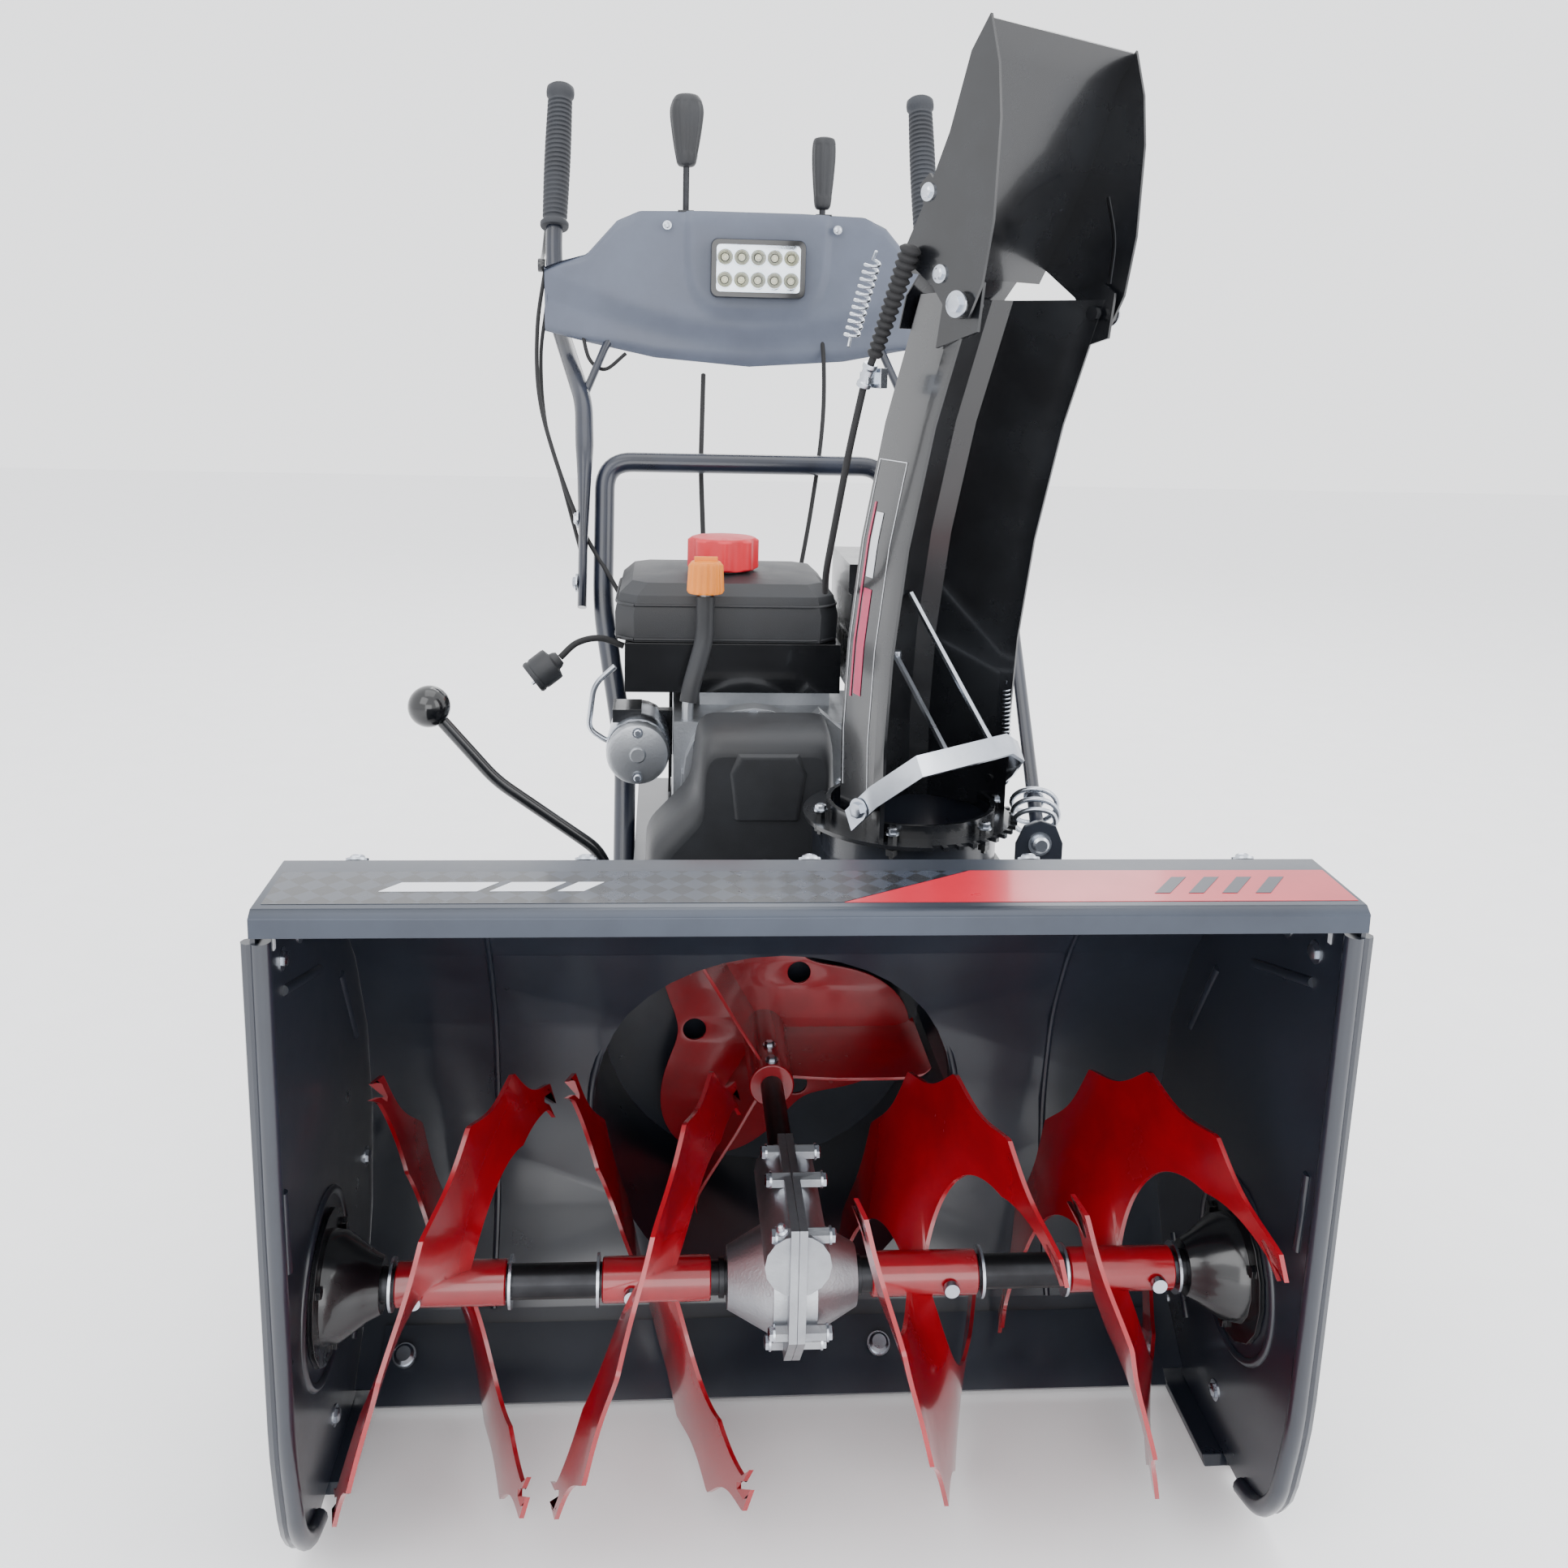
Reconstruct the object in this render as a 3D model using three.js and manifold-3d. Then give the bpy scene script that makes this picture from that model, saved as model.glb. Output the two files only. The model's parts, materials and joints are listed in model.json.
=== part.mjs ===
// Two stage snowblower. Millimetres, +Z up, the intake faces -Y, X = 0 is the machine's middle.
// Every mesh is one physical piece. The whole is moved at the end so that the origin is the middle
// of the underside of its bounding box.
import * as THREE from "three";
import { mergeVertices } from "three/addons/utils/BufferGeometryUtils.js";
import Module from "manifold-3d";

const wasm = await Module();
wasm.setup();

// ---------- driving dimensions ----------
const GAP = 0.3;
const HALF_WIDTH = 345;
const SHEET = 3;
const AUGER = { y: 135, z: 164, r: 149, shaft: 12.5 };
const IMPELLER = { z: 207, r: 146, drum: 155, front: 336, back: 448 };
const DRUM_BACK = 480;
const WORM_PITCH = 15.708;
const WHEEL_TEETH = 12;
const CRANK = { z: 420, r: 33 };
const IMPELLER_PULLEY = 95;
const RING = { x: 124, y: 398, z: 440, r: 96.5 };
const CHUTE_TURN = THREE.MathUtils.degToRad(35);
const CHUTE_LOW = 440;
const CHUTE_HIGH = 893;
const RIM_NOTCHES = 44;
const RIM_PHASE = -11.7;
const SPIRAL = { r: 20, pitch: 11.82, wire: 1.6, turns: 3.2 };
const AXLE = { y: 800, z: 105 };
const IDLER = { y: 576, z: 91 };
const TRACK = { in: 155, out: 265 };
const HANDLE_R = 12;
const UPPER_R = 11;
const PANEL_X = 6;

// ---------- materials ----------
const paint = (color, roughness, metalness) => new THREE.MeshStandardMaterial({ color, roughness, metalness });
const DARK = paint(0x2a2e38, 0.3, 0.4);
const RAIL = paint(0x525866, 0.35, 0.5);
const RED = paint(0xb5101f, 0.25, 0.2);
const BLACK = paint(0x15161a, 0.3, 0.2);
const TUBE = paint(0x1b1f2a, 0.25, 0.4);
const ALU = paint(0xb9bbbe, 0.45, 0.8);
const ZINC = paint(0xc9ced3, 0.3, 0.9);
const STEEL = paint(0x3a3c40, 0.4, 0.8);
const RUBBER = paint(0x191a1c, 0.9, 0);
const PLASTIC = paint(0x1b1c1f, 0.6, 0);
const GLOSS = paint(0x0f1012, 0.15, 0);
const SLATE = paint(0x6a7183, 0.5, 0.1);
const GRIP = paint(0x2e3136, 0.85, 0);
const CAP_RED = paint(0xb8202a, 0.4, 0);
const CAP_ORANGE = paint(0xd8541e, 0.45, 0);
const LENS = paint(0xdfe6ea, 0.1, 0);

const group = new THREE.Group();
const pieces = new THREE.Group();
group.add(pieces);

// ---------- solids ----------
const V = (x, y, z) => new THREE.Vector3(x, y, z);

function solid(geometry) {
  const bare = geometry.index ? geometry.toNonIndexed() : geometry.clone();
  bare.deleteAttribute("normal");
  bare.deleteAttribute("uv");
  const merged = mergeVertices(bare, 1e-4);
  const triVerts = new Uint32Array(merged.index.array);
  const make = () =>
    new wasm.Manifold(new wasm.Mesh({ numProp: 3, vertProperties: merged.attributes.position.array, triVerts }));
  const made = make();
  if (made.volume() > 0) return made;
  for (let i = 0; i < triVerts.length; i += 3) {
    [triVerts[i + 1], triVerts[i + 2]] = [triVerts[i + 2], triVerts[i + 1]];
  }
  return make();
}

const join = (...parts) => parts.reduce((a, b) => a.add(b));
const cut = (a, ...tools) => tools.reduce((s, t) => s.subtract(t), a);
const sum = (list) => list.reduce((a, b) => a.add(b));

function box(x0, x1, y0, y1, z0, z1) {
  const g = new THREE.BoxGeometry(x1 - x0, y1 - y0, z1 - z0);
  g.translate((x0 + x1) / 2, (y0 + y1) / 2, (z0 + z1) / 2);
  return solid(g);
}

// A cylinder, or a cone, from point a to point b.
function rod(a, b, r, sides = 16, rEnd = r) {
  const along = b.clone().sub(a);
  const g = new THREE.CylinderGeometry(rEnd, r, along.length(), sides);
  g.applyQuaternion(new THREE.Quaternion().setFromUnitVectors(V(0, 1, 0), along.clone().normalize()));
  const mid = a.clone().add(b).multiplyScalar(0.5);
  g.translate(mid.x, mid.y, mid.z);
  return solid(g);
}
const rodX = (x0, x1, y, z, r, n, r2) => rod(V(x0, y, z), V(x1, y, z), r, n, r2);
const rodY = (y0, y1, x, z, r, n, r2) => rod(V(x, y0, z), V(x, y1, z), r, n, r2);
const rodZ = (z0, z1, x, y, r, n, r2) => rod(V(x, y, z0), V(x, y, z1), r, n, r2);

// Turns a closed profile of [radius, height] about an axis through "at".
function lathe(profile, at, axis, sides = 32) {
  const g = new THREE.LatheGeometry(profile.map(([r, h]) => new THREE.Vector2(r, h)), sides);
  g.applyQuaternion(new THREE.Quaternion().setFromUnitVectors(V(0, 1, 0), axis));
  g.translate(at.x, at.y, at.z);
  return solid(g);
}

// Extrudes an outline drawn in one plane. "from" to "to" is the span along the third axis.
function slab(plane, outline, from, to) {
  const shape = new THREE.Shape(outline.map(([a, b]) => new THREE.Vector2(a, b)));
  const g = new THREE.ExtrudeGeometry(shape, { depth: to - from, bevelEnabled: false });
  const m = new THREE.Matrix4();
  if (plane === "YZ") m.makeBasis(V(0, 1, 0), V(0, 0, 1), V(1, 0, 0)).setPosition(from, 0, 0);
  if (plane === "XZ") m.makeBasis(V(1, 0, 0), V(0, 0, 1), V(0, -1, 0)).setPosition(0, to, 0);
  if (plane === "XY") m.setPosition(0, 0, from);
  g.applyMatrix4(m);
  return solid(g);
}

// Joins rings of points, all with the same count, into one closed skin with capped ends.
function loft(rings) {
  const count = rings[0].length;
  const at = rings.flat();
  const tris = [];
  for (let i = 0; i + 1 < rings.length; i++) {
    for (let j = 0; j < count; j++) {
      const k = (j + 1) % count;
      const a = i * count + j;
      const b = i * count + k;
      tris.push([a, b, b + count], [a, b + count, a + count]);
    }
  }
  const cap = (ring, offset, flip) => {
    const n = V(0, 0, 0);
    ring.forEach((p, i) => n.add(p.clone().cross(ring[(i + 1) % count])));
    n.normalize();
    const u = Math.abs(n.x) < 0.9 ? V(1, 0, 0) : V(0, 1, 0);
    u.sub(n.clone().multiplyScalar(u.dot(n))).normalize();
    const w = n.clone().cross(u);
    const flat = ring.map((p) => new THREE.Vector2(p.dot(u), p.dot(w)));
    for (const [a, b, c] of THREE.ShapeUtils.triangulateShape(flat, [])) {
      tris.push(flip ? [offset + a, offset + c, offset + b] : [offset + a, offset + b, offset + c]);
    }
  };
  cap(rings[0], 0, true);
  cap(rings[rings.length - 1], (rings.length - 1) * count, false);
  const g = new THREE.BufferGeometry();
  g.setAttribute("position", new THREE.Float32BufferAttribute(tris.flat().flatMap((i) => at[i].toArray()), 3));
  return solid(g);
}

// Rounds each inner corner of a path with a short curve.
function bend(points, size, steps = 4) {
  const path = [points[0]];
  for (let i = 1; i + 1 < points.length; i++) {
    const p = points[i];
    const before = points[i - 1].clone().sub(p);
    const after = points[i + 1].clone().sub(p);
    const reach = Math.min(size, before.length() * 0.45, after.length() * 0.45);
    const a = p.clone().add(before.setLength(reach));
    const b = p.clone().add(after.setLength(reach));
    const curve = new THREE.QuadraticBezierCurve3(a, p, b);
    path.push(...curve.getPoints(steps));
  }
  path.push(points[points.length - 1]);
  return path;
}

// A round bar along a path.
function pipe(path, r, sides = 10) {
  let side = null;
  const rings = path.map((p, i) => {
    const before = path[Math.max(i - 1, 0)];
    const after = path[Math.min(i + 1, path.length - 1)];
    const t = after.clone().sub(before).normalize();
    if (!side) side = Math.abs(t.x) < 0.9 ? V(1, 0, 0) : V(0, 1, 0);
    side = side.clone().sub(t.clone().multiplyScalar(side.dot(t))).normalize();
    const up = t.clone().cross(side);
    return Array.from({ length: sides }, (_, k) => {
      const a = (k / sides) * Math.PI * 2;
      return p.clone().addScaledVector(side, r * Math.cos(a)).addScaledVector(up, r * Math.sin(a));
    });
  });
  return loft(rings);
}

// The band between an open line and its copy moved sideways by "thick", to its left.
function band(line, thick) {
  const inner = line.map(([x, y], i) => {
    const [x0, y0] = line[Math.max(i - 1, 0)];
    const [x1, y1] = line[Math.min(i + 1, line.length - 1)];
    const len = Math.hypot(x1 - x0, y1 - y0);
    return [x - ((y1 - y0) / len) * thick, y + ((x1 - x0) / len) * thick];
  });
  return [...line, ...inner.reverse()];
}

const circle = (x, y, r, n, start = 0) =>
  Array.from({ length: n }, (_, i) => {
    const a = start + (i / n) * Math.PI * 2;
    return [x + r * Math.cos(a), y + r * Math.sin(a)];
  });

// The outline of a belt round two circles, the first above the second, as [a, b] points.
function loop([ax, ay], ar, [bx, by], br, steps = 14) {
  const d = Math.hypot(bx - ax, by - ay);
  const dir = Math.atan2(by - ay, bx - ax);
  const lean = Math.acos((ar - br) / d);
  const points = [];
  for (let i = 0; i <= steps; i++) {
    const t = dir + lean + (i / steps) * (Math.PI * 2 - 2 * lean);
    points.push([ax + ar * Math.cos(t), ay + ar * Math.sin(t)]);
  }
  for (let i = 0; i <= steps; i++) {
    const t = dir - lean + (i / steps) * 2 * lean;
    points.push([bx + br * Math.cos(t), by + br * Math.sin(t)]);
  }
  return points;
}

function add(name, body, material) {
  const mesh = body.getMesh();
  const g = new THREE.BufferGeometry();
  g.setAttribute("position", new THREE.BufferAttribute(new Float32Array(mesh.vertProperties), 3));
  g.setIndex(new THREE.BufferAttribute(new Uint32Array(mesh.triVerts), 1));
  g.computeVertexNormals();
  const node = new THREE.Mesh(g, material);
  node.name = name;
  pieces.add(node);
  return node;
}

const X = V(1, 0, 0);
const Y = V(0, 1, 0);
const Z = V(0, 0, 1);
const SIDES = [["left", -1], ["right", 1]];

// ---------- intake housing ----------
const BACK_LINE = [[60, 490], [104, 489], [150, 472], [215, 426], [264, 366], [300, 291], [312, 207],
  [300, 123], [262, 48], [215, 12]];
const CARRIAGE_BOLTS = [-304, -85, 85, 304];

{
  const sheet = slab("YZ", band(BACK_LINE.slice().reverse(), SHEET), -HALF_WIDTH + SHEET + GAP, HALF_WIDTH - SHEET - GAP);
  const midLine = band(BACK_LINE.slice().reverse(), SHEET / 2).slice(BACK_LINE.length);
  const inFront = slab("YZ", [[-40, 560], ...midLine, [150, -40], [-40, -40]], -200, 240);
  const shell = rodY(240, DRUM_BACK, 0, IMPELLER.z, IMPELLER.drum + SHEET, 40);
  const duct = slab("XZ", [[46, 300], [46, 405], [202, 405], [202, 322], [157, 205], [100, 190]],
    RING.y - 78, DRUM_BACK);
  const ductRoom = slab("XZ", [[49, 290], [49, 402], [199, 402], [199, 323], [153, 207], [90, 180]],
    RING.y - 75, DRUM_BACK - SHEET);
  const collar = rodZ(400, 436, RING.x, RING.y, 78, 32);
  const collarRoom = rodZ(380, 450, RING.x, RING.y, 75, 32);
  const drumRoom = rodY(200, DRUM_BACK - SHEET, 0, IMPELLER.z, IMPELLER.drum, 40);
  const outside = cut(join(shell, duct, collar), inFront);
  const shaftHole = rodY(DRUM_BACK - 10, DRUM_BACK + 10, 0, IMPELLER.z, 13, 20);
  add("auger_housing", cut(join(sheet, outside), drumRoom, ductRoom, collarRoom, shaftHole), DARK);
}

const PLATE_OUTLINE = [[4, 490], [9, 300], [15, 120], [30, 50], [55, 18], [88, 8], [216, 8], [265, 46],
  [303, 122], [315, 207], [303, 292], [267, 368], [217, 429], [152, 475], [104, 490]];

for (const [side, s] of SIDES) {
  const span = (a, b) => (s > 0 ? [a, b] : [-b, -a]);
  const plate = slab("YZ", PLATE_OUTLINE, ...span(HALF_WIDTH - SHEET, HALF_WIDTH));
  const edge = [[8, 486], [12, 300], [18, 122], [32, 53], [56, 22], [88, 13]].map(([y, z]) => V(s * 347, y, z));
  const bead = pipe(bend(edge, 25, 2), 5, 8);
  const opening = rodX(s * 330, s * 360, AUGER.y, AUGER.z, 34, 24);
  add("side_plate_" + side, cut(join(plate, bead), opening), DARK);

  const foot = slab("YZ", [[128, 6], [122, 0], [298, 0], [292, 6]], ...span(326, 350.5));
  const wall = slab("YZ", [[122, 0], [298, 0], [312, 14], [300, 66], [120, 66], [108, 14]],
    ...span(HALF_WIDTH + GAP, 350.5));
  const heads = [150, 262].map((y) => rodX(s * 350, s * 354, y, 44, 7, 6));
  add("skid_shoe_" + side, join(wall, foot, ...heads), DARK);

  const bearing = lathe([[12.8, -42], [20, -42], [25, -32], [38, -14], [40, -4], [54, -4], [54, 0], [33, 0],
    [33, 8], [12.8, 8]].map(([r, h]) => [r, h]).concat([[12.8, -42]]), V(s * (342 - GAP), AUGER.y, AUGER.z),
    V(s, 0, 0), 16);
  const bolts = [30, 150, 270].map((a) => {
    const t = THREE.MathUtils.degToRad(a);
    const y = AUGER.y + 47 * Math.cos(t);
    const z = AUGER.z + 47 * Math.sin(t);
    return rodX(s * 334, s * 339, y, z, 5, 6);
  });
  add("auger_bearing_" + side, join(bearing, ...bolts), BLACK);
}

{
  const hood = band([[103, 490.6], [100, 502], [82, 510], [6, 507.5], [0, 503], [0, 490.6]], 2.5);
  add("top_rail", slab("YZ", hood, -HALF_WIDTH, HALF_WIDTH), RAIL);
}

// The bar lies on the inner face of the housing's lower lip. "out" is how far it stands off the sheet.
const LIP = { dir: [0.794, 0.608], in: [-0.608, 0.794] };
const onLip = (along, out) => [215 + LIP.dir[0] * along + LIP.in[0] * out, 12 + LIP.dir[1] * along + LIP.in[1] * out];
{
  const bar = slab("YZ", [onLip(-14, 3.4), onLip(46, 3.4), onLip(46, 8), onLip(-14, 8)], -323, 323);
  const heads = CARRIAGE_BOLTS.map((x) => {
    const [y, z] = onLip(22, 7);
    const [y1, z1] = onLip(22, 12);
    return rod(V(x, y, z), V(x, y1, z1), 10, 12, 5);
  });
  add("scraper_bar", join(bar, ...heads), DARK);
}

// ---------- auger ----------
{
  const upper = (s) => join(
    rodX(s * GAP * 0.5, s * 16, AUGER.y, AUGER.z, 43, 24),
    rodX(s * 15, s * 48, AUGER.y, AUGER.z, 40, 24, 22),
    rodY(84, 205, 0, IMPELLER.z, 24, 16),
    rodY(204, 214, 0, IMPELLER.z, 17, 16),
    slab("YZ", [[78, 150], [82, 236], [206, 238], [206, 220], [186, 190], [186, 140], [160, 112], [110, 112]],
      ...(s > 0 ? [GAP / 2, 6] : [-6, -GAP / 2])),
  );
  const room = join(
    rodX(-13, 13, AUGER.y, AUGER.z, 37, 24),
    rodY(92, 178, 0, IMPELLER.z, 18.5, 16),
    rodX(-60, 60, AUGER.y, AUGER.z, 12.9, 16),
    rodY(170, 230, 0, IMPELLER.z, 10.5, 14),
  );
  const BOSSES = [[92, 226], [150, 233], [196, 228], [90, 150], [120, 120], [166, 124]];
  for (const [side, s] of SIDES) {
    const half = s > 0 ? box(GAP / 2, 80, 0, 300, 60, 300) : box(-80, -GAP / 2, 0, 300, 60, 300);
    const bosses = BOSSES.map(([y, z]) => rodX(s * 1, s * (s > 0 ? 22 : 15), y, z, 6, 6));
    add("gearbox_" + side, cut(join(upper(s), ...bosses).intersect(half), room), ALU);
  }
}

const PIN_AT = [-275, -118, 118, 275];
{
  const tooth = (i) => {
    const mid = ((i + 0.5) / WHEEL_TEETH) * Math.PI * 2;
    return [[-0.2, 24], [-0.135, 25.5], [-0.075, 34], [0.075, 34], [0.135, 25.5], [0.2, 24]].map(([a, r]) => [
      AUGER.y - r * Math.sin(mid + a), AUGER.z + r * Math.cos(mid + a)]);
  };
  const gear = Array.from({ length: WHEEL_TEETH }, (_, i) => tooth(i)).flat();
  const wheel = slab("YZ", gear, -6, 6);
  const shaft = rodX(-325, 325, AUGER.y, AUGER.z, AUGER.shaft, 16);
  const collars = [-52, 50].map((x) => rodX(x - 2, x + 2, AUGER.y, AUGER.z, 14.5, 16));
  const holes = PIN_AT.map((x) => rodY(AUGER.y - 30, AUGER.y + 30, x, AUGER.z, 3.8, 8));
  add("auger_shaft", cut(join(shaft, wheel, ...collars), ...holes), STEEL);
}

// One wing of a flight: a helical ribbon joined to the hub by a web over part of its length.
// t runs 0 at the machine's middle side to 1 at the outer side, and the ribbon's edge is toothed.
const WING = 195;
const SLOPE = 130 / WING;
function wing(middle, s, start) {
  const at = (deg, r, dx) => {
    const a = THREE.MathUtils.degToRad(start + deg);
    return V(middle + s * (-62 + SLOPE * deg + dx), AUGER.y - r * Math.sin(a), AUGER.z + r * Math.cos(a));
  };
  const steps = 20;
  const rings = [];
  for (let i = 0; i <= steps; i++) {
    const deg = (i / steps) * WING;
    const tooth = i % 3 === 2 ? 11 : 0;
    const nearEnd = Math.min(deg, WING - deg);
    const outer = AUGER.r - tooth - Math.max(0, 10 - nearEnd) * 0.9;
    const web = Math.max(0, Math.abs(deg - 82) - 22);
    const inner = Math.min(88 + Math.max(0, 22 - nearEnd) * 0.9, 14 + web * web * 0.42);
    rings.push([at(deg, inner, -2), at(deg, outer, -2), at(deg, outer, 2), at(deg, inner, 2)]);
  }
  return loft(rings);
}
const FLIGHTS = [["left_outer", -250, -1, -50], ["left_inner", -100, -1, -50], ["right_inner", 100, 1, 42],
  ["right_outer", 250, 1, 42]];
FLIGHTS.forEach(([name, x, s, start], i) => {
  const hub = rodX(x - 40, x + 40, AUGER.y, AUGER.z, 16, 14);
  const bore = rodX(x - 80, x + 80, AUGER.y, AUGER.z, 12.9, 16);
  const hole = rodY(AUGER.y - 30, AUGER.y + 30, PIN_AT[i], AUGER.z, 3.8, 8);
  const pin = join(rodY(AUGER.y - 19, AUGER.y + 22, PIN_AT[i], AUGER.z, 3.2, 8),
    rodY(AUGER.y - 23, AUGER.y - 18, PIN_AT[i], AUGER.z, 6, 8));
  const flight = cut(join(hub, wing(x, s, start), wing(x, s, start + 180)), bore);
  if (Math.abs(x) > 200) {
    add("flight_" + name, join(flight, pin), RED);
    return;
  }
  add("flight_" + name, cut(flight, hole), RED);
  add("shear_pin_" + name.split("_")[0], pin, ZINC);
});

// ---------- impeller ----------
// A grooved pulley of outer radius r, 20 long; the belt runs in the groove between its flanges.
const GROOVE = 8;
const pulleyAt = (r, z, sides) =>
  lathe([[9, -10], [r, -10], [r, -6.5], [r - GROOVE, -6.5], [r - GROOVE, 6.5], [r, 6.5], [r, 10], [9, 10], [9, -10]],
    V(0, 510, z), Y, sides);

// A ridge that winds left-handed round the shaft, two sides tapered.
function thread(turns, core, tip, root, crest) {
  const steps = Math.round(turns * 12);
  const rings = [];
  for (let i = 0; i <= steps; i++) {
    const a = (i / 12) * Math.PI * 2;
    const y = AUGER.y + (i / 12 - turns / 2) * WORM_PITCH;
    const at = (r, dy) => V(r * Math.sin(a + turns * Math.PI), y + dy, IMPELLER.z - r * Math.cos(a + turns * Math.PI));
    rings.push([at(core, -root), at(tip, -crest), at(tip, crest), at(core, root)]);
  }
  return loft(rings);
}
{
  const shaft = rodY(97, 548, 0, IMPELLER.z, 10, 14);
  const core = rodY(100, 170, 0, IMPELLER.z, 7, 12);
  const slim = cut(shaft, lathe([[7.4, 0], [30, 0], [30, 68], [7.4, 68], [7.4, 0]], V(0, 101, IMPELLER.z), Y, 14));
  const pulley = pulleyAt(IMPELLER_PULLEY, IMPELLER.z, 24);
  add("impeller_shaft", join(slim, core, thread(3, 6.8, 17, 2.1, 1.8), pulley), STEEL);

  const hub = rodY(IMPELLER.front, IMPELLER.back + 4, 0, IMPELLER.z, 20, 16);
  const blades = [0, 120, 240].map((deg) => {
    const a = THREE.MathUtils.degToRad(deg);
    const out = (r, across, y) => V(r * Math.cos(a) - across * Math.sin(a), y,
      IMPELLER.z + r * Math.sin(a) + across * Math.cos(a));
    return loft([-1.5, 1.5].map((w) => [out(14, w, IMPELLER.back - 1), out(14, w, 352), out(70, w, 344),
      out(IMPELLER.r, w, 344), out(IMPELLER.r, w, IMPELLER.back - 1)]));
  });
  const star = Array.from({ length: 24 }, (_, i) => {
    const a = (i / 24) * Math.PI * 2;
    const r = 112 + 30 * Math.cos(a * 3);
    return [r * Math.cos(a), IMPELLER.z + r * Math.sin(a)];
  });
  const disc = slab("XZ", star, IMPELLER.back - 3, IMPELLER.back);
  const holes = [60, 180, 300].map((deg) => {
    const a = THREE.MathUtils.degToRad(deg);
    return rodY(430, 460, 66 * Math.cos(a), IMPELLER.z + 66 * Math.sin(a), 11, 12);
  });
  const bore = rodY(300, 480, 0, IMPELLER.z, 10.5, 14);
  add("impeller", cut(join(hub, disc, ...blades), bore, ...holes), RED);
}

// ---------- belt drive ----------
{
  const crank = rodY(492, 596, 0, CRANK.z, 11, 14);
  const pulley = pulleyAt(CRANK.r, CRANK.z, 18);
  add("engine_pulley", join(crank, pulley), STEEL);

  const low = [0, IMPELLER.z];
  const high = [0, CRANK.z];
  const outer = slab("XZ", loop(low, IMPELLER_PULLEY + 2, high, CRANK.r + 2, 16), 504, 516);
  const inner = slab("XZ", loop(low, IMPELLER_PULLEY - GROOVE + 0.8, high, CRANK.r - GROOVE + 0.8, 16), 500, 520);
  add("auger_belt", cut(outer, inner), RUBBER);

  const side = [[-56, 491], [60, 491], [67, 478], [70, 424], [112, 366], [118, 207], [72, 97], [-72, 97],
    [-118, 207], [-115, 377], [-71, 424], [-66, 478]];
  const room = side.map(([x, z]) => [x * (1 - 2.6 / 90), 294 + (z - 294) * (1 - 2.6 / 196)]);
  const cover = cut(slab("XZ", side, DRUM_BACK + 2.5, 560), slab("XZ", room, DRUM_BACK + 5.2, 570),
    rodY(470, 500, 0, IMPELLER.z, 14, 20));
  add("belt_cover", cover, PLASTIC);
}

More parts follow.
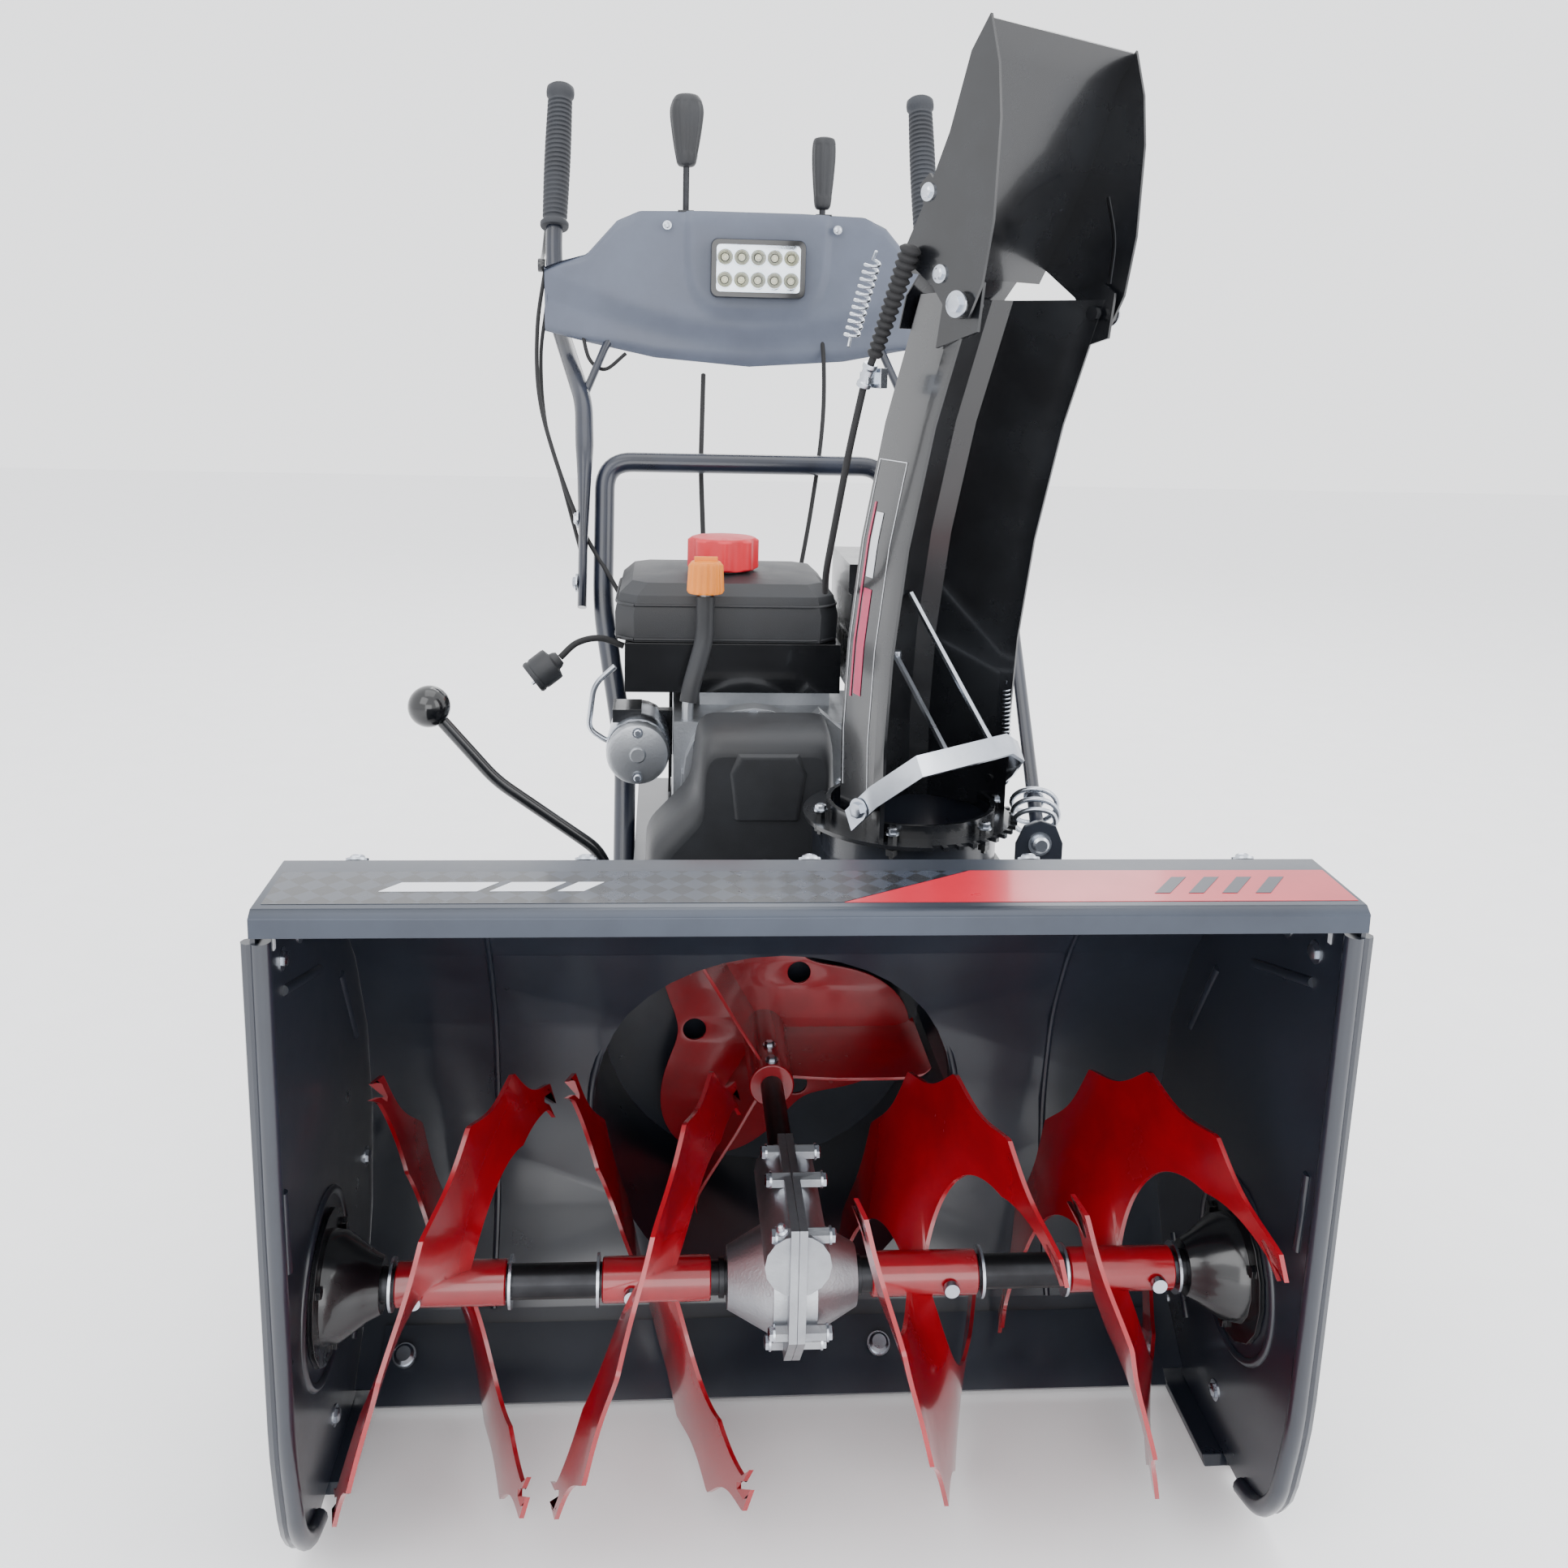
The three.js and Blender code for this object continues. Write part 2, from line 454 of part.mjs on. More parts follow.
// ---------- engine ----------
{
  const block = box(-88, 95, 586, 800, 326.4, 474);
  const cover = rodY(564, 590, -8, 424, 70, 24);
  const ear = slab("XZ", [[40, 470], [62, 446], [84, 452], [84, 470], [60, 490]], 568, 590);
  const sump = box(-80, 70, 572, 590, 330, 424);
  const head = box(94, 158, 630, 733, 378, 474);
  const fins = [392, 408, 424, 440, 456].map((z) => box(157, 166, 624, 739, z, z + 4));
  const neck = box(-60, 80, 660, 800, 470, 492.6);
  const bolts = [30, 90, 150, 210, 270, 330].map((deg) => {
    const a = THREE.MathUtils.degToRad(deg);
    return rodY(560.6, 566, -8 + 62 * Math.cos(a), 424 + 62 * Math.sin(a), 5, 6);
  });
  const bore = rodY(540, 600, 0, CRANK.z, 11.5, 14);
  const filler = pipe(bend([V(-74, 600, 440), V(-74, 600, 500), V(-57, 614, 552), V(-57, 614, 602.6)], 14, 2), 6, 8);
  add("engine_block", cut(join(block, cover, ear, sump, head, neck, filler, ...fins, ...bolts), bore),
    ALU);

  const tray = cut(box(-140, 88, 636, 852, 493, 545.7), box(-137, 85, 639, 849, 490, 542.7));
  const fan = cut(box(-92, 92, 803, 866, 332, 545.7), box(-89, 89, 800, 863, 329, 542.7));
  const vents = [-56, -28, 0, 28, 56].map((x) => box(x - 8, x + 8, 855, 870, 380, 400));
  const cord = rodY(850, 880, 45, 470, 5, 12);
  const handHole = box(-86, 86, 840, 856, 480, 540);
  add("engine_shroud", cut(join(tray, fan), box(-89, 89, 640, 863, 495, 542.7), ...vents, cord, handHole), GLOSS);

  const grip = join(rodX(20, 70, 884, 470, 8, 12), rodY(866.6, 884, 45, 470, 7, 12), rodY(856, 868, 45, 470, 4.6, 12));
  add("recoil_handle", grip, BLACK);

  const edge = [[-130, 640], [65, 640], [85, 660], [85, 830], [65, 850], [-130, 850], [-150, 830], [-150, 660]];
  const ringAt = (k, z) => edge.map(([x, y]) => V(-32 + (x + 32) * k, 745 + (y - 745) * k, z));
  const skin = loft([ringAt(1, 546), ringAt(1.01, 575), ringAt(0.97, 595), ringAt(0.86, 607), ringAt(0.5, 612)]);
  const hollow = loft([ringAt(0.95, 549), ringAt(0.95, 575), ringAt(0.92, 592), ringAt(0.8, 603), ringAt(0.45, 608)]);
  const mouth = rodZ(600, 640, -35, 720, 24, 24);
  const neckRing = rodZ(600, 622, -35, 720, 28, 24);
  add("fuel_tank", cut(join(skin, neckRing), cut(hollow, box(-400, 400, 0, 900, 700, 800)), mouth), PLASTIC);

  const lobes = Array.from({ length: 32 }, (_, i) => {
    const a = (i / 32) * Math.PI * 2;
    const r = 37 + 2 * Math.cos(a * 8);
    return [-35 + r * Math.cos(a), 720 + r * Math.sin(a)];
  });
  const cap = cut(slab("XY", lobes, 614, 650), rodZ(600, 624, -35, 720, 28.6, 24));
  const plug = rodZ(612, 630, -35, 720, 23, 20);
  add("fuel_cap", join(cap, plug), CAP_RED);

  const knob = cut(rodZ(603, 637, -57, 614, 19, 14, 17), rodZ(600, 610, -57, 614, 14, 12));
  add("oil_cap", join(knob, rodZ(604, 612, -57, 614, 4, 8)), CAP_ORANGE);

  const motor = rodY(606, 712, -125, 435, 32, 20);
  const endCap = rodY(600, 608, -125, 435, 30, 20, 32);
  const flange = box(-116, -88.4, 690, 706, 410, 460);
  const screws = [V(-125, 598, 459), V(-125, 598, 411)].map((p) => rod(p, p.clone().add(V(0, 12, 0)), 4, 8));
  const socket = box(-152, -122, 628, 676, 462, 476);
  add("starter_motor", join(motor, endCap, flange, socket, ...screws), BLACK);

  const can = cut(box(96, 176, 650, 800, 498, 630), box(99, 173, 653, 797, 501, 627), box(120, 150, 640, 660, 520, 610));
  const stub = rodZ(474.4, 500, 128, 720, 14, 16);
  const shield = box(96, 100, 626, 652, 484, 600);
  add("muffler_guard", join(can, stub, shield), BLACK);
}

// ---------- chassis and tracks ----------
{
  const wall = [[482, 132], [482, 322], [564, 326], [880, 326], [880, 62], [735, 62], [700, 132]];
  const left = slab("YZ", wall, -128, -125);
  const right = slab("YZ", wall, 125, 128);
  const top = box(-127, 127, 563, 880, 323, 326);
  const rear = box(-127, 127, 877, 880, 62, 325);
  const front = box(-127, 127, 561, 564, 132, 325);
  const axleHole = rodX(-140, 140, AXLE.y, AXLE.z, 12.5, 24);
  const gearCase = cut(join(box(-124.5, -70, 760, 850, 70, 300), box(-126, -120, 760, 850, 70, 300)), axleHole);
  add("chassis", cut(join(left, right, top, rear, front, gearCase), axleHole), DARK);

  const gear = Array.from({ length: 11 }, (_, i) => {
    const a = (i / 11) * Math.PI * 2;
    return [[-0.12, 66], [-0.07, 79], [0.07, 79], [0.12, 66]].map(([d, r]) =>
      [AXLE.y + r * Math.cos(a + d), AXLE.z + r * Math.sin(a + d)]);
  }).flat();
  const wheels = SIDES.map(([, s]) => (s > 0 ? slab("YZ", gear, 190, 230) : slab("YZ", gear, -230, -190)));
  const axle = rodX(-262, 262, AXLE.y, AXLE.z, 12, 14);
  const hubs = SIDES.map(([, s]) => rodX(s * 180, s * 245, AXLE.y, AXLE.z, 24, 12));
  add("drive_axle", join(axle, ...wheels, ...hubs), STEEL);

  const rollers = SIDES.map(([, s]) => lathe([[9, -28], [64, -28], [66, -22], [66, 22], [64, 28], [9, 28], [9, -28]],
    V(s * 210, IDLER.y, IDLER.z), X, 16));
  add("idler_axle", join(rodX(-255, 255, IDLER.y, IDLER.z, 10, 16), ...rollers), BLACK);

  const arm = [[AXLE.y + 24, AXLE.z], [AXLE.y + 12, AXLE.z + 24], [AXLE.y - 20, AXLE.z + 22], [IDLER.y + 10, IDLER.z + 20],
    [IDLER.y - 14, IDLER.z + 14], [IDLER.y - 20, IDLER.z], [IDLER.y - 10, IDLER.z - 16], [AXLE.y - 10, AXLE.z - 24],
    [AXLE.y + 14, AXLE.z - 20]];
  const arms = [slab("YZ", arm, -148, -142), slab("YZ", arm, 142, 148)];
  const cross = rodX(-144, 144, 650, 96, 12, 16);
  const bores = [rodX(-160, 160, AXLE.y, AXLE.z, 12.5, 20), rodX(-160, 160, IDLER.y, IDLER.z, 10.5, 16)];
  add("track_frame", cut(join(...arms, cross), ...bores), DARK);

  const belt = (grow) => loop([AXLE.y, AXLE.z], 80.5 + grow, [IDLER.y, IDLER.z], 66.5 + grow, 14);
  // Lugs stand on every other short step round the loop.
  const path = belt(10);
  const spots = [];
  path.forEach((p, i) => {
    const q = path[(i + 1) % path.length];
    const len = Math.hypot(q[0] - p[0], q[1] - p[1]);
    const parts = Math.max(1, Math.round(len / 26));
    for (let k = 0; k < parts; k++) spots.push([p[0] + ((q[0] - p[0]) * k) / parts, p[1] + ((q[1] - p[1]) * k) / parts]);
  });
  const outline = [];
  spots.forEach((p, i) => {
    const q = spots[(i + 1) % spots.length];
    const len = Math.hypot(q[0] - p[0], q[1] - p[1]);
    const n = [(q[1] - p[1]) / len, -(q[0] - p[0]) / len];
    if (i % 2) {
      outline.push(p);
      return;
    }
    outline.push(p, [p[0] + n[0] * 14.5, p[1] + n[1] * 14.5], [q[0] + n[0] * 14.5, q[1] + n[1] * 14.5]);
  });
  for (const [side, s] of SIDES) {
    const span = s > 0 ? [TRACK.in, TRACK.out] : [-TRACK.out, -TRACK.in];
    add("track_" + side, cut(slab("YZ", outline, ...span), slab("YZ", belt(0), span[0] - 5, span[1] + 5)), RUBBER);
  }

  const lever = pipe(bend([V(-135, 520, 300), V(-146, 520, 320), V(-160, 516, 361), V(-259, 508, 435),
    V(-312, 501, 500)], 16, 2), 6, 8);
  const boss = rodX(-142, -128.4, 520, 300, 15, 16);
  const ball = lathe([[0, -20], [8, -18], [16, -12], [20, 0], [16, 12], [8, 18], [0, 20]],
    V(-320, 500, 510), V(-0.62, -0.08, 0.78).normalize(), 16);
  add("height_lever", join(lever, boss, ball), BLACK);
}

// ---------- handles ----------
{
  const half = [V(-141, 690, 262), V(-142, 760, 390), V(-172, 850, 545), V(-172, 905, 716)];
  const across = half.slice().reverse().map((p) => V(-p.x, p.y, p.z));
  add("lower_handle", pipe(bend([...half, ...across], 34, 4), HANDLE_R, 10), TUBE);

  for (const [side, s] of SIDES) {
    const run = [V(s * 196, 838, 548), V(s * 196, 893, 722), V(s * 200, 945, 785), V(s * 244, 1093, 890),
      V(s * 250, 1122, 985), V(s * 246, 1198, 1192)];
    const tube = pipe(bend(run, 24, 3), UPPER_R, 10);
    const bolts = [[848, 576], [872, 650]].map(([y, z]) => rodX(s * 205, s * 212, y, z, 8, 6));
    add("upper_handle_" + side, join(tube, ...bolts), TUBE);

    const along = V(s * 246, 1198, 1192).sub(V(s * 250, 1122, 985)).normalize();
    const base = V(s * 250, 1122, 985).addScaledVector(along, 26);
    const tip = V(s * 246, 1198, 1192).addScaledVector(along, 10);
    const sleeve = rod(base, tip, 16.5, 12);
    const bore = rod(base.clone().addScaledVector(along, -24), tip.clone().addScaledVector(along, -5), 11.6, 12);
    const rims = [0, 0.96].map((k) => {
      const a = base.clone().lerp(tip, k);
      return rod(a, a.clone().addScaledVector(along, 8), 19, 12);
    });
    add("grip_" + side, cut(join(sleeve, ...rims), bore), GRIP);

    const pivot = V(s * 249.6, 1128, 960);
    const lever = pipe(bend([V(s * 266, 1128, 960), V(s * 266, 1172, 976), V(s * 262, 1206, 1040),
      V(s * 250, 1240, 1140), V(s * 249, 1244, 1154)], 20, 4), 4.5, 8);
    const hub = rodX(s * 261.4, s * 271, pivot.y, pivot.z, 9, 12);
    add("clutch_lever_" + side, join(lever, hub), BLACK);
  }
}

// ---------- panel and controls ----------
{
  const side = [[-259, 949], [-259, 869], [-150, 843], [0, 829], [150, 843], [259, 869], [259, 949], [180, 1004],
    [150, 1020], [-150, 1020], [-185, 1004]].map(([x, z]) => [x + PANEL_X, z]);
  const inner = side.map(([x, z]) => [PANEL_X + (x - PANEL_X) * (1 - 3 / 255), 925 + (z - 925) * (1 - 3 / 95)]);
  const shell = cut(slab("XZ", side, 985, 1030), slab("XZ", inner, 988, 1050));
  const bar = rodX(-160, 170, 1014, 960, 4, 10);
  const ribs = [-160, 170].map((x) => box(x - 1.5, x + 1.5, 987, 1026, 850, 1018));
  const slots = [-77, 95].map((x) => box(x - 7, x + 7, 993, 1060, 1005, 1030));
  add("panel", cut(join(shell, bar, ...ribs), ...slots), SLATE);

  add("headlight", join(box(-46, 72, 968, 984.6, 917, 988), box(-40, 66, 964, 969, 923, 982)), LENS);

  const shift = join(rodX(-82, -72, 1014, 960, 10, 16), rodZ(966, 1080, -77, 1014, 4, 10),
    lathe([[0, 0], [10, 2], [14, 14], [20, 50], [21, 70], [15, 84], [0, 88]], V(-77, 1014, 1076), Z, 12));
  add("shift_lever", cut(shift, rodX(-90, -60, 1014, 960, 4.3, 16)), PLASTIC);

  const tilt = join(rodX(90, 100, 1014, 960, 10, 16), rodZ(966, 1040, 95, 1014, 4, 10),
    lathe([[0, 0], [9, 2], [12, 20], [15, 60], [14, 82], [9, 88], [0, 88]], V(95, 1014, 1030), Z, 12));
  add("deflector_lever", cut(tilt, rodX(80, 110, 1014, 960, 4.3, 16)), PLASTIC);
}

// ---------- chute ----------
// u runs across the chute, v out of its open side, both level; the back wall leans as it rises.
const ACROSS = V(Math.cos(CHUTE_TURN), Math.sin(CHUTE_TURN), 0);
const OPEN = V(Math.sin(CHUTE_TURN), -Math.cos(CHUTE_TURN), 0);
const C = (u, v, z) => V(RING.x, RING.y, z).addScaledVector(ACROSS, u).addScaledVector(OPEN, v);
const lean = (z) => {
  const h = (z - 445) / 450;
  return -28 * h + 103 * h * h;
};
const WALL_LINE = [[-79, 46], [-76.5, 30.5], [-56, -32], [-40, -44.5], [40, -44.5], [56, -32], [76.5, 30.5], [79, 46]];

{
  const seat = lathe([[78.4, -7], [81, -7], [81, -4], [78.4, -4], [78.4, -7]], V(RING.x, RING.y, RING.z), Z, 32);
  add("chute_ring", seat, STEEL);

  // The rim is notched over the part of its edge that can come round to the spiral.
  const step = (Math.PI * 2) / RIM_NOTCHES;
  const rim = Array.from({ length: RIM_NOTCHES }, (_, i) => {
    const mid = THREE.MathUtils.degToRad(RIM_PHASE) + (i - 9) * step;
    if (i > 27) return [[RING.x + RING.r * Math.cos(mid), RING.y + RING.r * Math.sin(mid)]];
    return [[-0.33, 96.5], [-0.33, 90.6], [0.33, 90.6], [0.33, 96.5]].map(([k, r]) =>
      [RING.x + r * Math.cos(mid + k * step), RING.y + r * Math.sin(mid + k * step)]);
  }).flat();
  const plate = cut(slab("XY", rim, RING.z - 3.5, RING.z), rodZ(400, 460, RING.x, RING.y, 72, 28));
  const lip = lathe([[72, -3], [76, -3], [76, 12], [72, 12], [72, -3]], V(RING.x, RING.y, RING.z), Z, 28);
  const section = band(WALL_LINE, 2.6);
  const heights = [CHUTE_LOW - 1, 520, 600, 690, 790, CHUTE_HIGH];
  const foot = lathe([[89.5, -4], [140, -4], [140, 40], [89.5, 40], [89.5, -4]], V(RING.x, RING.y, RING.z), Z, 24);
  const channel = loft(heights.map((z) => section.map(([u, v]) => C(u, v + lean(z), z))));
  const studs = [10, 70, 130, 190, 250, 310].map((deg) => {
    const a = THREE.MathUtils.degToRad(deg);
    const x = RING.x + 84 * Math.cos(a);
    const y = RING.y + 84 * Math.sin(a);
    return join(rodZ(424, 452, x, y, 2.4, 4), rodZ(RING.z - 0.1, 446, x, y, 4.5, 6), rodZ(427, 432.6, x, y, 5, 4));
  });
  const pivotHoles = rod(C(-100, 115, 896 - 14), C(100, 115, 896 - 14), 3, 10);
  const ears = [-1, 1].map((k) => {
    const a = k > 0 ? [76.6, 79.6] : [-79.6, -76.6];
    return loft(a.map((u) => [C(u, 84, 850), C(u, 126, 862), C(u, 130, 898), C(u, 118, 906), C(u, 92, 900)]));
  });
  const guardBolts = rod(C(-89.5, 28, 466), C(89.5, 28, 466), 4, 10);
  const bolts = guardBolts.subtract(loft([C, C].map((f, i) => {
    const u = i ? 72 : -72;
    return [f(u, 10, 450), f(u, 50, 450), f(u, 50, 480), f(u, 10, 480)];
  })));
  const channelAndEars = join(cut(channel, foot), ...ears);
  add("chute", join(plate, lip, cut(channelAndEars, pivotHoles), ...studs, bolts), BLACK);
}

{
  const profile = [[44, 908], [70, 952], [96, 1006], [114, 1060], [130, 1082]];
  const backSheet = loft([-85, 85].map((u) => band(profile, 2.6).map(([v, z]) => C(u, v, z))));
  const cheek = [[50, 920], [69, 954], [95, 1008], [113, 1062], [130, 1085], [140, 1050], [144, 1012], [142, 942],
    [134, 896], [122, 872], [104, 872], [84, 896]];
  const cheeks = [[-86, -83.4], [83.4, 86]].map((pair) => loft(pair.map((u) => cheek.map(([v, z]) => C(u, v, z)))));
  const bolt = [-1, 1].map((k) => join(rod(C(k * 70, 115, 882), C(k * 91, 115, 882), 2.7, 10),
    rod(C(k * 85.5, 115, 882), C(k * 90.5, 115, 882), 9, 12), rod(C(k * 68, 115, 882), C(k * 73, 115, 882), 6, 8)));
  const tab = loft([-86, -83.4].map((u) => [C(u, 96, 955), C(u, 76, 980), C(u, 66, 972), C(u, 74, 948)]));
  add("deflector", join(backSheet, ...cheeks, ...bolt, tab), BLACK);
}

{
  const strap = band([[-86, 14], [-86, 42], [-66, 72], [40, 76], [74, 60], [86, 40], [86, 14]], 2.5);
  const level = (v) => 466 + (v - 28) * 0.98;
  const bandSolid = loft([-8, 8].map((d) => strap.map(([u, v]) => C(u, v - d * 0.55, level(v) + d))));
  const holes = rod(C(-100, 28, 466), C(100, 28, 466), 4.5, 12);
  const rods = [pipe([C(-28, 73, 510), C(8, -34, 578)], 3, 6), pipe([C(26, 74.5, 511), C(22, -32, 634)], 3, 6)];
  add("chute_guard", join(cut(bandSolid, holes), ...rods), ZINC);
}

// ---------- chute crank ----------
// The rod runs straight from its bracket beside the ring up to the operator; the wire spiral on it
// passes through the notches of the chute's rim. WORM_AT is where its axis crosses the rim's level.
const WORM_AT = V(RING.x + 111, RING.y - 22, 438.2);
const WORM_DIR = V(0.094, 0.835, 0.543).normalize();
const HAND_CRANK = { reach: 640, arm: 52 };
{
  const side = V(-1, 0, 0);
  side.sub(WORM_DIR.clone().multiplyScalar(side.dot(WORM_DIR))).normalize();
  const up = side.clone().cross(WORM_DIR);
  const on = (d) => WORM_AT.clone().addScaledVector(WORM_DIR, d);
  const coil = [];
  const first = -8;
  const count = Math.round(SPIRAL.turns * 12);
  for (let i = 0; i <= count; i++) {
    const along = first + (i / 12) * SPIRAL.pitch;
    const a = (along / SPIRAL.pitch) * Math.PI * 2;
    const r = SPIRAL.r - Math.max(0, 4 - i, i - (count - 4)) * 3.2;
    coil.push(on(along).addScaledVector(side, r * Math.cos(a)).addScaledVector(up, r * Math.sin(a)));
  }
  const last = first + SPIRAL.turns * SPIRAL.pitch;
  const ends = [first, last].map((d) => rod(on(d - 2), on(d + 2), 9, 12));
  const crankEnd = on(HAND_CRANK.reach);
  const shaft = rod(on(-30), on(HAND_CRANK.reach + 2), 6.5, 10);
  const arm = pipe([on(HAND_CRANK.reach - 2), crankEnd.clone().addScaledVector(up, HAND_CRANK.arm + 2)], 6, 8);
  const hold = crankEnd.clone().addScaledVector(up, HAND_CRANK.arm);
  const knob = rod(hold.clone().addScaledVector(WORM_DIR, -8), hold.clone().addScaledVector(WORM_DIR, 74), 11, 12);
  add("chute_crank", join(pipe(coil, SPIRAL.wire, 5), ...ends, shaft, arm, knob), ZINC);

  const foot = on(-24);
  const plate = slab("XZ", [[foot.x - 21, 398], [foot.x + 21, 398], [foot.x + 21, foot.z], [foot.x + 14, foot.z + 16],
    [foot.x, foot.z + 21], [foot.x - 14, foot.z + 16], [foot.x - 21, foot.z]], foot.y - 2, foot.y + 2);
  const base = box(202.4, foot.x + 21, foot.y - 2, 380, 394, 398);
  add("crank_bracket", cut(join(plate, base), rod(on(-50), on(0), 7, 12)), DARK);
}

// ---------- cords and cables ----------
{
  const run = [V(-52, 1008, 822), V(-54, 962, 762), V(-55, 932, 705), V(-52, 896, 620), V(-50, 869.6, 530)];
  add("control_cable", pipe(new THREE.CatmullRomCurve3(run).getPoints(14), 3, 6), RUBBER);
  const lead = [V(-142, 660, 538), V(-166, 655, 547), V(-190, 649, 543), V(-207.6, 643.6, 528)];
  add("power_cord", pipe(new THREE.CatmullRomCurve3(lead).getPoints(6), 3.5, 8), RUBBER);
  add("power_plug", rod(V(-208, 643, 528), V(-236, 636, 507), 18, 14), PLASTIC);

  // The deflector's boot and cable run down the chute's left side to a clip on its back.
  const boot = [0, 1, 2, 3, 4, 5].map((i) => {
    const k = i / 6;
    const at = (f) => C(-96, 70 - 37 * f, 926 - 83 * f);
    return rod(at(k), at(k + 1 / 6), 7.5, 8, 5.5);
  });
  const wire = pipe(bend([C(-96, 34, 846), C(-96, 24, 826), C(-94, 6, 770), C(-84, -30, 660), C(-64, -52, 640)], 20, 3),
    3, 6);
  const clip = loft([-89, -81].map((u) => [C(u, 16, 818), C(u, 34, 818), C(u, 34, 834), C(u, 16, 834)]));
  const arm = loft([-99, -88].map((u) => [C(u, 20, 821), C(u, 30, 821), C(u, 30, 831), C(u, 20, 831)]));
  add("deflector_cable", join(wire, clip, arm, ...boot), RUBBER);

  const coil = [];
  for (let i = 0; i <= 42; i++) {
    const k = i / 42;
    const a = (i / 6) * Math.PI * 2;
    coil.push(C(-112 + 5 * Math.cos(a), 20 + 28 * k + 5 * Math.sin(a), 850 + 72 * k));
  }
  add("deflector_spring", pipe(coil, 1.3, 5), ZINC);
}

// ---------- placing ----------
pieces.updateMatrixWorld(true);
const bounds = new THREE.Box3();
pieces.children.forEach((piece) => {
  if (!/^power_/.test(piece.name)) bounds.expandByObject(piece);
});
pieces.position.set(0, -(bounds.min.y + bounds.max.y) / 2, -bounds.min.z);

export default group;
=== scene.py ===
"""Looks of a walk-behind two stage snowblower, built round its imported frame.

Lengths in the making of pieces are millimetres in the machine's drawing: x to the right, y to the
rear with the intake's mouth near 0, z up from the ground. place() turns them into the row's metres.
"""

import json
import math

import bmesh
import bpy
from mathutils import Matrix, Vector

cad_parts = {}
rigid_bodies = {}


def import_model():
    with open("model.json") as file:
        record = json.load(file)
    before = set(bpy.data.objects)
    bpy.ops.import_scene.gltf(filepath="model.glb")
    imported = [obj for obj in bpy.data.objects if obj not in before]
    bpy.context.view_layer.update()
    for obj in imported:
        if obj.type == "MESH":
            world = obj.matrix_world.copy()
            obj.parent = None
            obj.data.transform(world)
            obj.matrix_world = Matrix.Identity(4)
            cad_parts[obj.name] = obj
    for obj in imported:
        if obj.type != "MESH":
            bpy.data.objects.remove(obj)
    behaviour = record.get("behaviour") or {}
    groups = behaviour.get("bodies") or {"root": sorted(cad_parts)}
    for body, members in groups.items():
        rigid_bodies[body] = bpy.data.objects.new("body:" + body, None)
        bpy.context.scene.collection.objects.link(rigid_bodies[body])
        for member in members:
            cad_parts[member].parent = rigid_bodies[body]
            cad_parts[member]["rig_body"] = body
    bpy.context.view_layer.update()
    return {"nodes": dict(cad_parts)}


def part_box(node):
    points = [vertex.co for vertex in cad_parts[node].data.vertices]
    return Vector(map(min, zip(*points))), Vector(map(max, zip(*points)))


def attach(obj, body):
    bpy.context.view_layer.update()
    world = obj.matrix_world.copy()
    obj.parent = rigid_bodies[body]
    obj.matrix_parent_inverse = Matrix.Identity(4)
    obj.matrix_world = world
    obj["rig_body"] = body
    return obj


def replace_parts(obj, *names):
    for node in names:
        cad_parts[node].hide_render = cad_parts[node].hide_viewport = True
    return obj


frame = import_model()

# ---------- drawing to row ----------
AUGER_Y, AUGER_Z, AUGER_R = 135, 164, 149
IMPELLER_Z = 207
HALF_WIDTH = 345
X, Y, Z = Vector((1, 0, 0)), Vector((0, 1, 0)), Vector((0, 0, 1))
SIDES = (("left", -1), ("right", 1))

low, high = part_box("auger_shaft")
SHIFT_Y = (low.y + high.y) / 2 - AUGER_Y / 1000


def place(point):
    """A point of the drawing, in the row's metres."""
    return Vector((point[0] / 1000, point[1] / 1000 + SHIFT_Y, point[2] / 1000))


# ---------- materials ----------
def linear(code):
    """An sRGB hex colour as linear red, green, blue and alpha."""
    parts = [int(code[i:i + 2], 16) / 255 for i in (1, 3, 5)]
    return [c / 12.92 if c <= 0.04045 else ((c + 0.055) / 1.055) ** 2.4 for c in parts] + [1.0]


def put(tree, kind, inputs=None, **settings):
    """Adds one node, with its settings, and sets or links its inputs."""
    made = tree.nodes.new(kind)
    for name, value in settings.items():
        setattr(made, name, value)
    for name, value in (inputs or {}).items():
        if isinstance(value, bpy.types.NodeSocket):
            tree.links.new(value, made.inputs[name])
        else:
            made.inputs[name].default_value = value
    return made


def finish_coat(name, colour, patch_colour, roughness, spread, grain_mm, relief_mm, strength=0.4, **shader):
    """A finish with a slow change of colour and gloss over it, and a fine relief of the stated grain."""
    material = bpy.data.materials.new(name)
    material.use_nodes = True
    tree = material.node_tree
    tree.nodes.clear()
    where = put(tree, "ShaderNodeTexCoord").outputs["Object"]
    patch = put(tree, "ShaderNodeTexNoise", {"Vector": where, "Scale": 14.0, "Detail": 5.0, "Roughness": 0.6})
    fine = put(tree, "ShaderNodeTexNoise", {"Vector": where, "Scale": 1000 / grain_mm, "Detail": 3.0})
    tone = put(tree, "ShaderNodeMapRange", {"Value": patch.outputs[0], "From Min": 0.38, "From Max": 0.66})
    mixed = put(tree, "ShaderNodeMix", {0: tone.outputs[0], 6: linear(colour), 7: linear(patch_colour)},
                data_type="RGBA")
    gloss = put(tree, "ShaderNodeMapRange", {"Value": patch.outputs[0], "From Min": 0.3, "From Max": 0.7,
                                             "To Min": roughness - spread, "To Max": roughness + spread})
    relief = put(tree, "ShaderNodeBump", {"Height": fine.outputs[0], "Strength": strength,
                                          "Distance": relief_mm / 1000})
    inputs = {"Base Color": mixed.outputs[2], "Roughness": gloss.outputs[0], "Normal": relief.outputs[0]}
    inputs.update({key.replace("_", " "): value for key, value in shader.items()})
    bsdf = put(tree, "ShaderNodeBsdfPrincipled", inputs)
    put(tree, "ShaderNodeOutputMaterial", {"Surface": bsdf.outputs[0]})
    return material


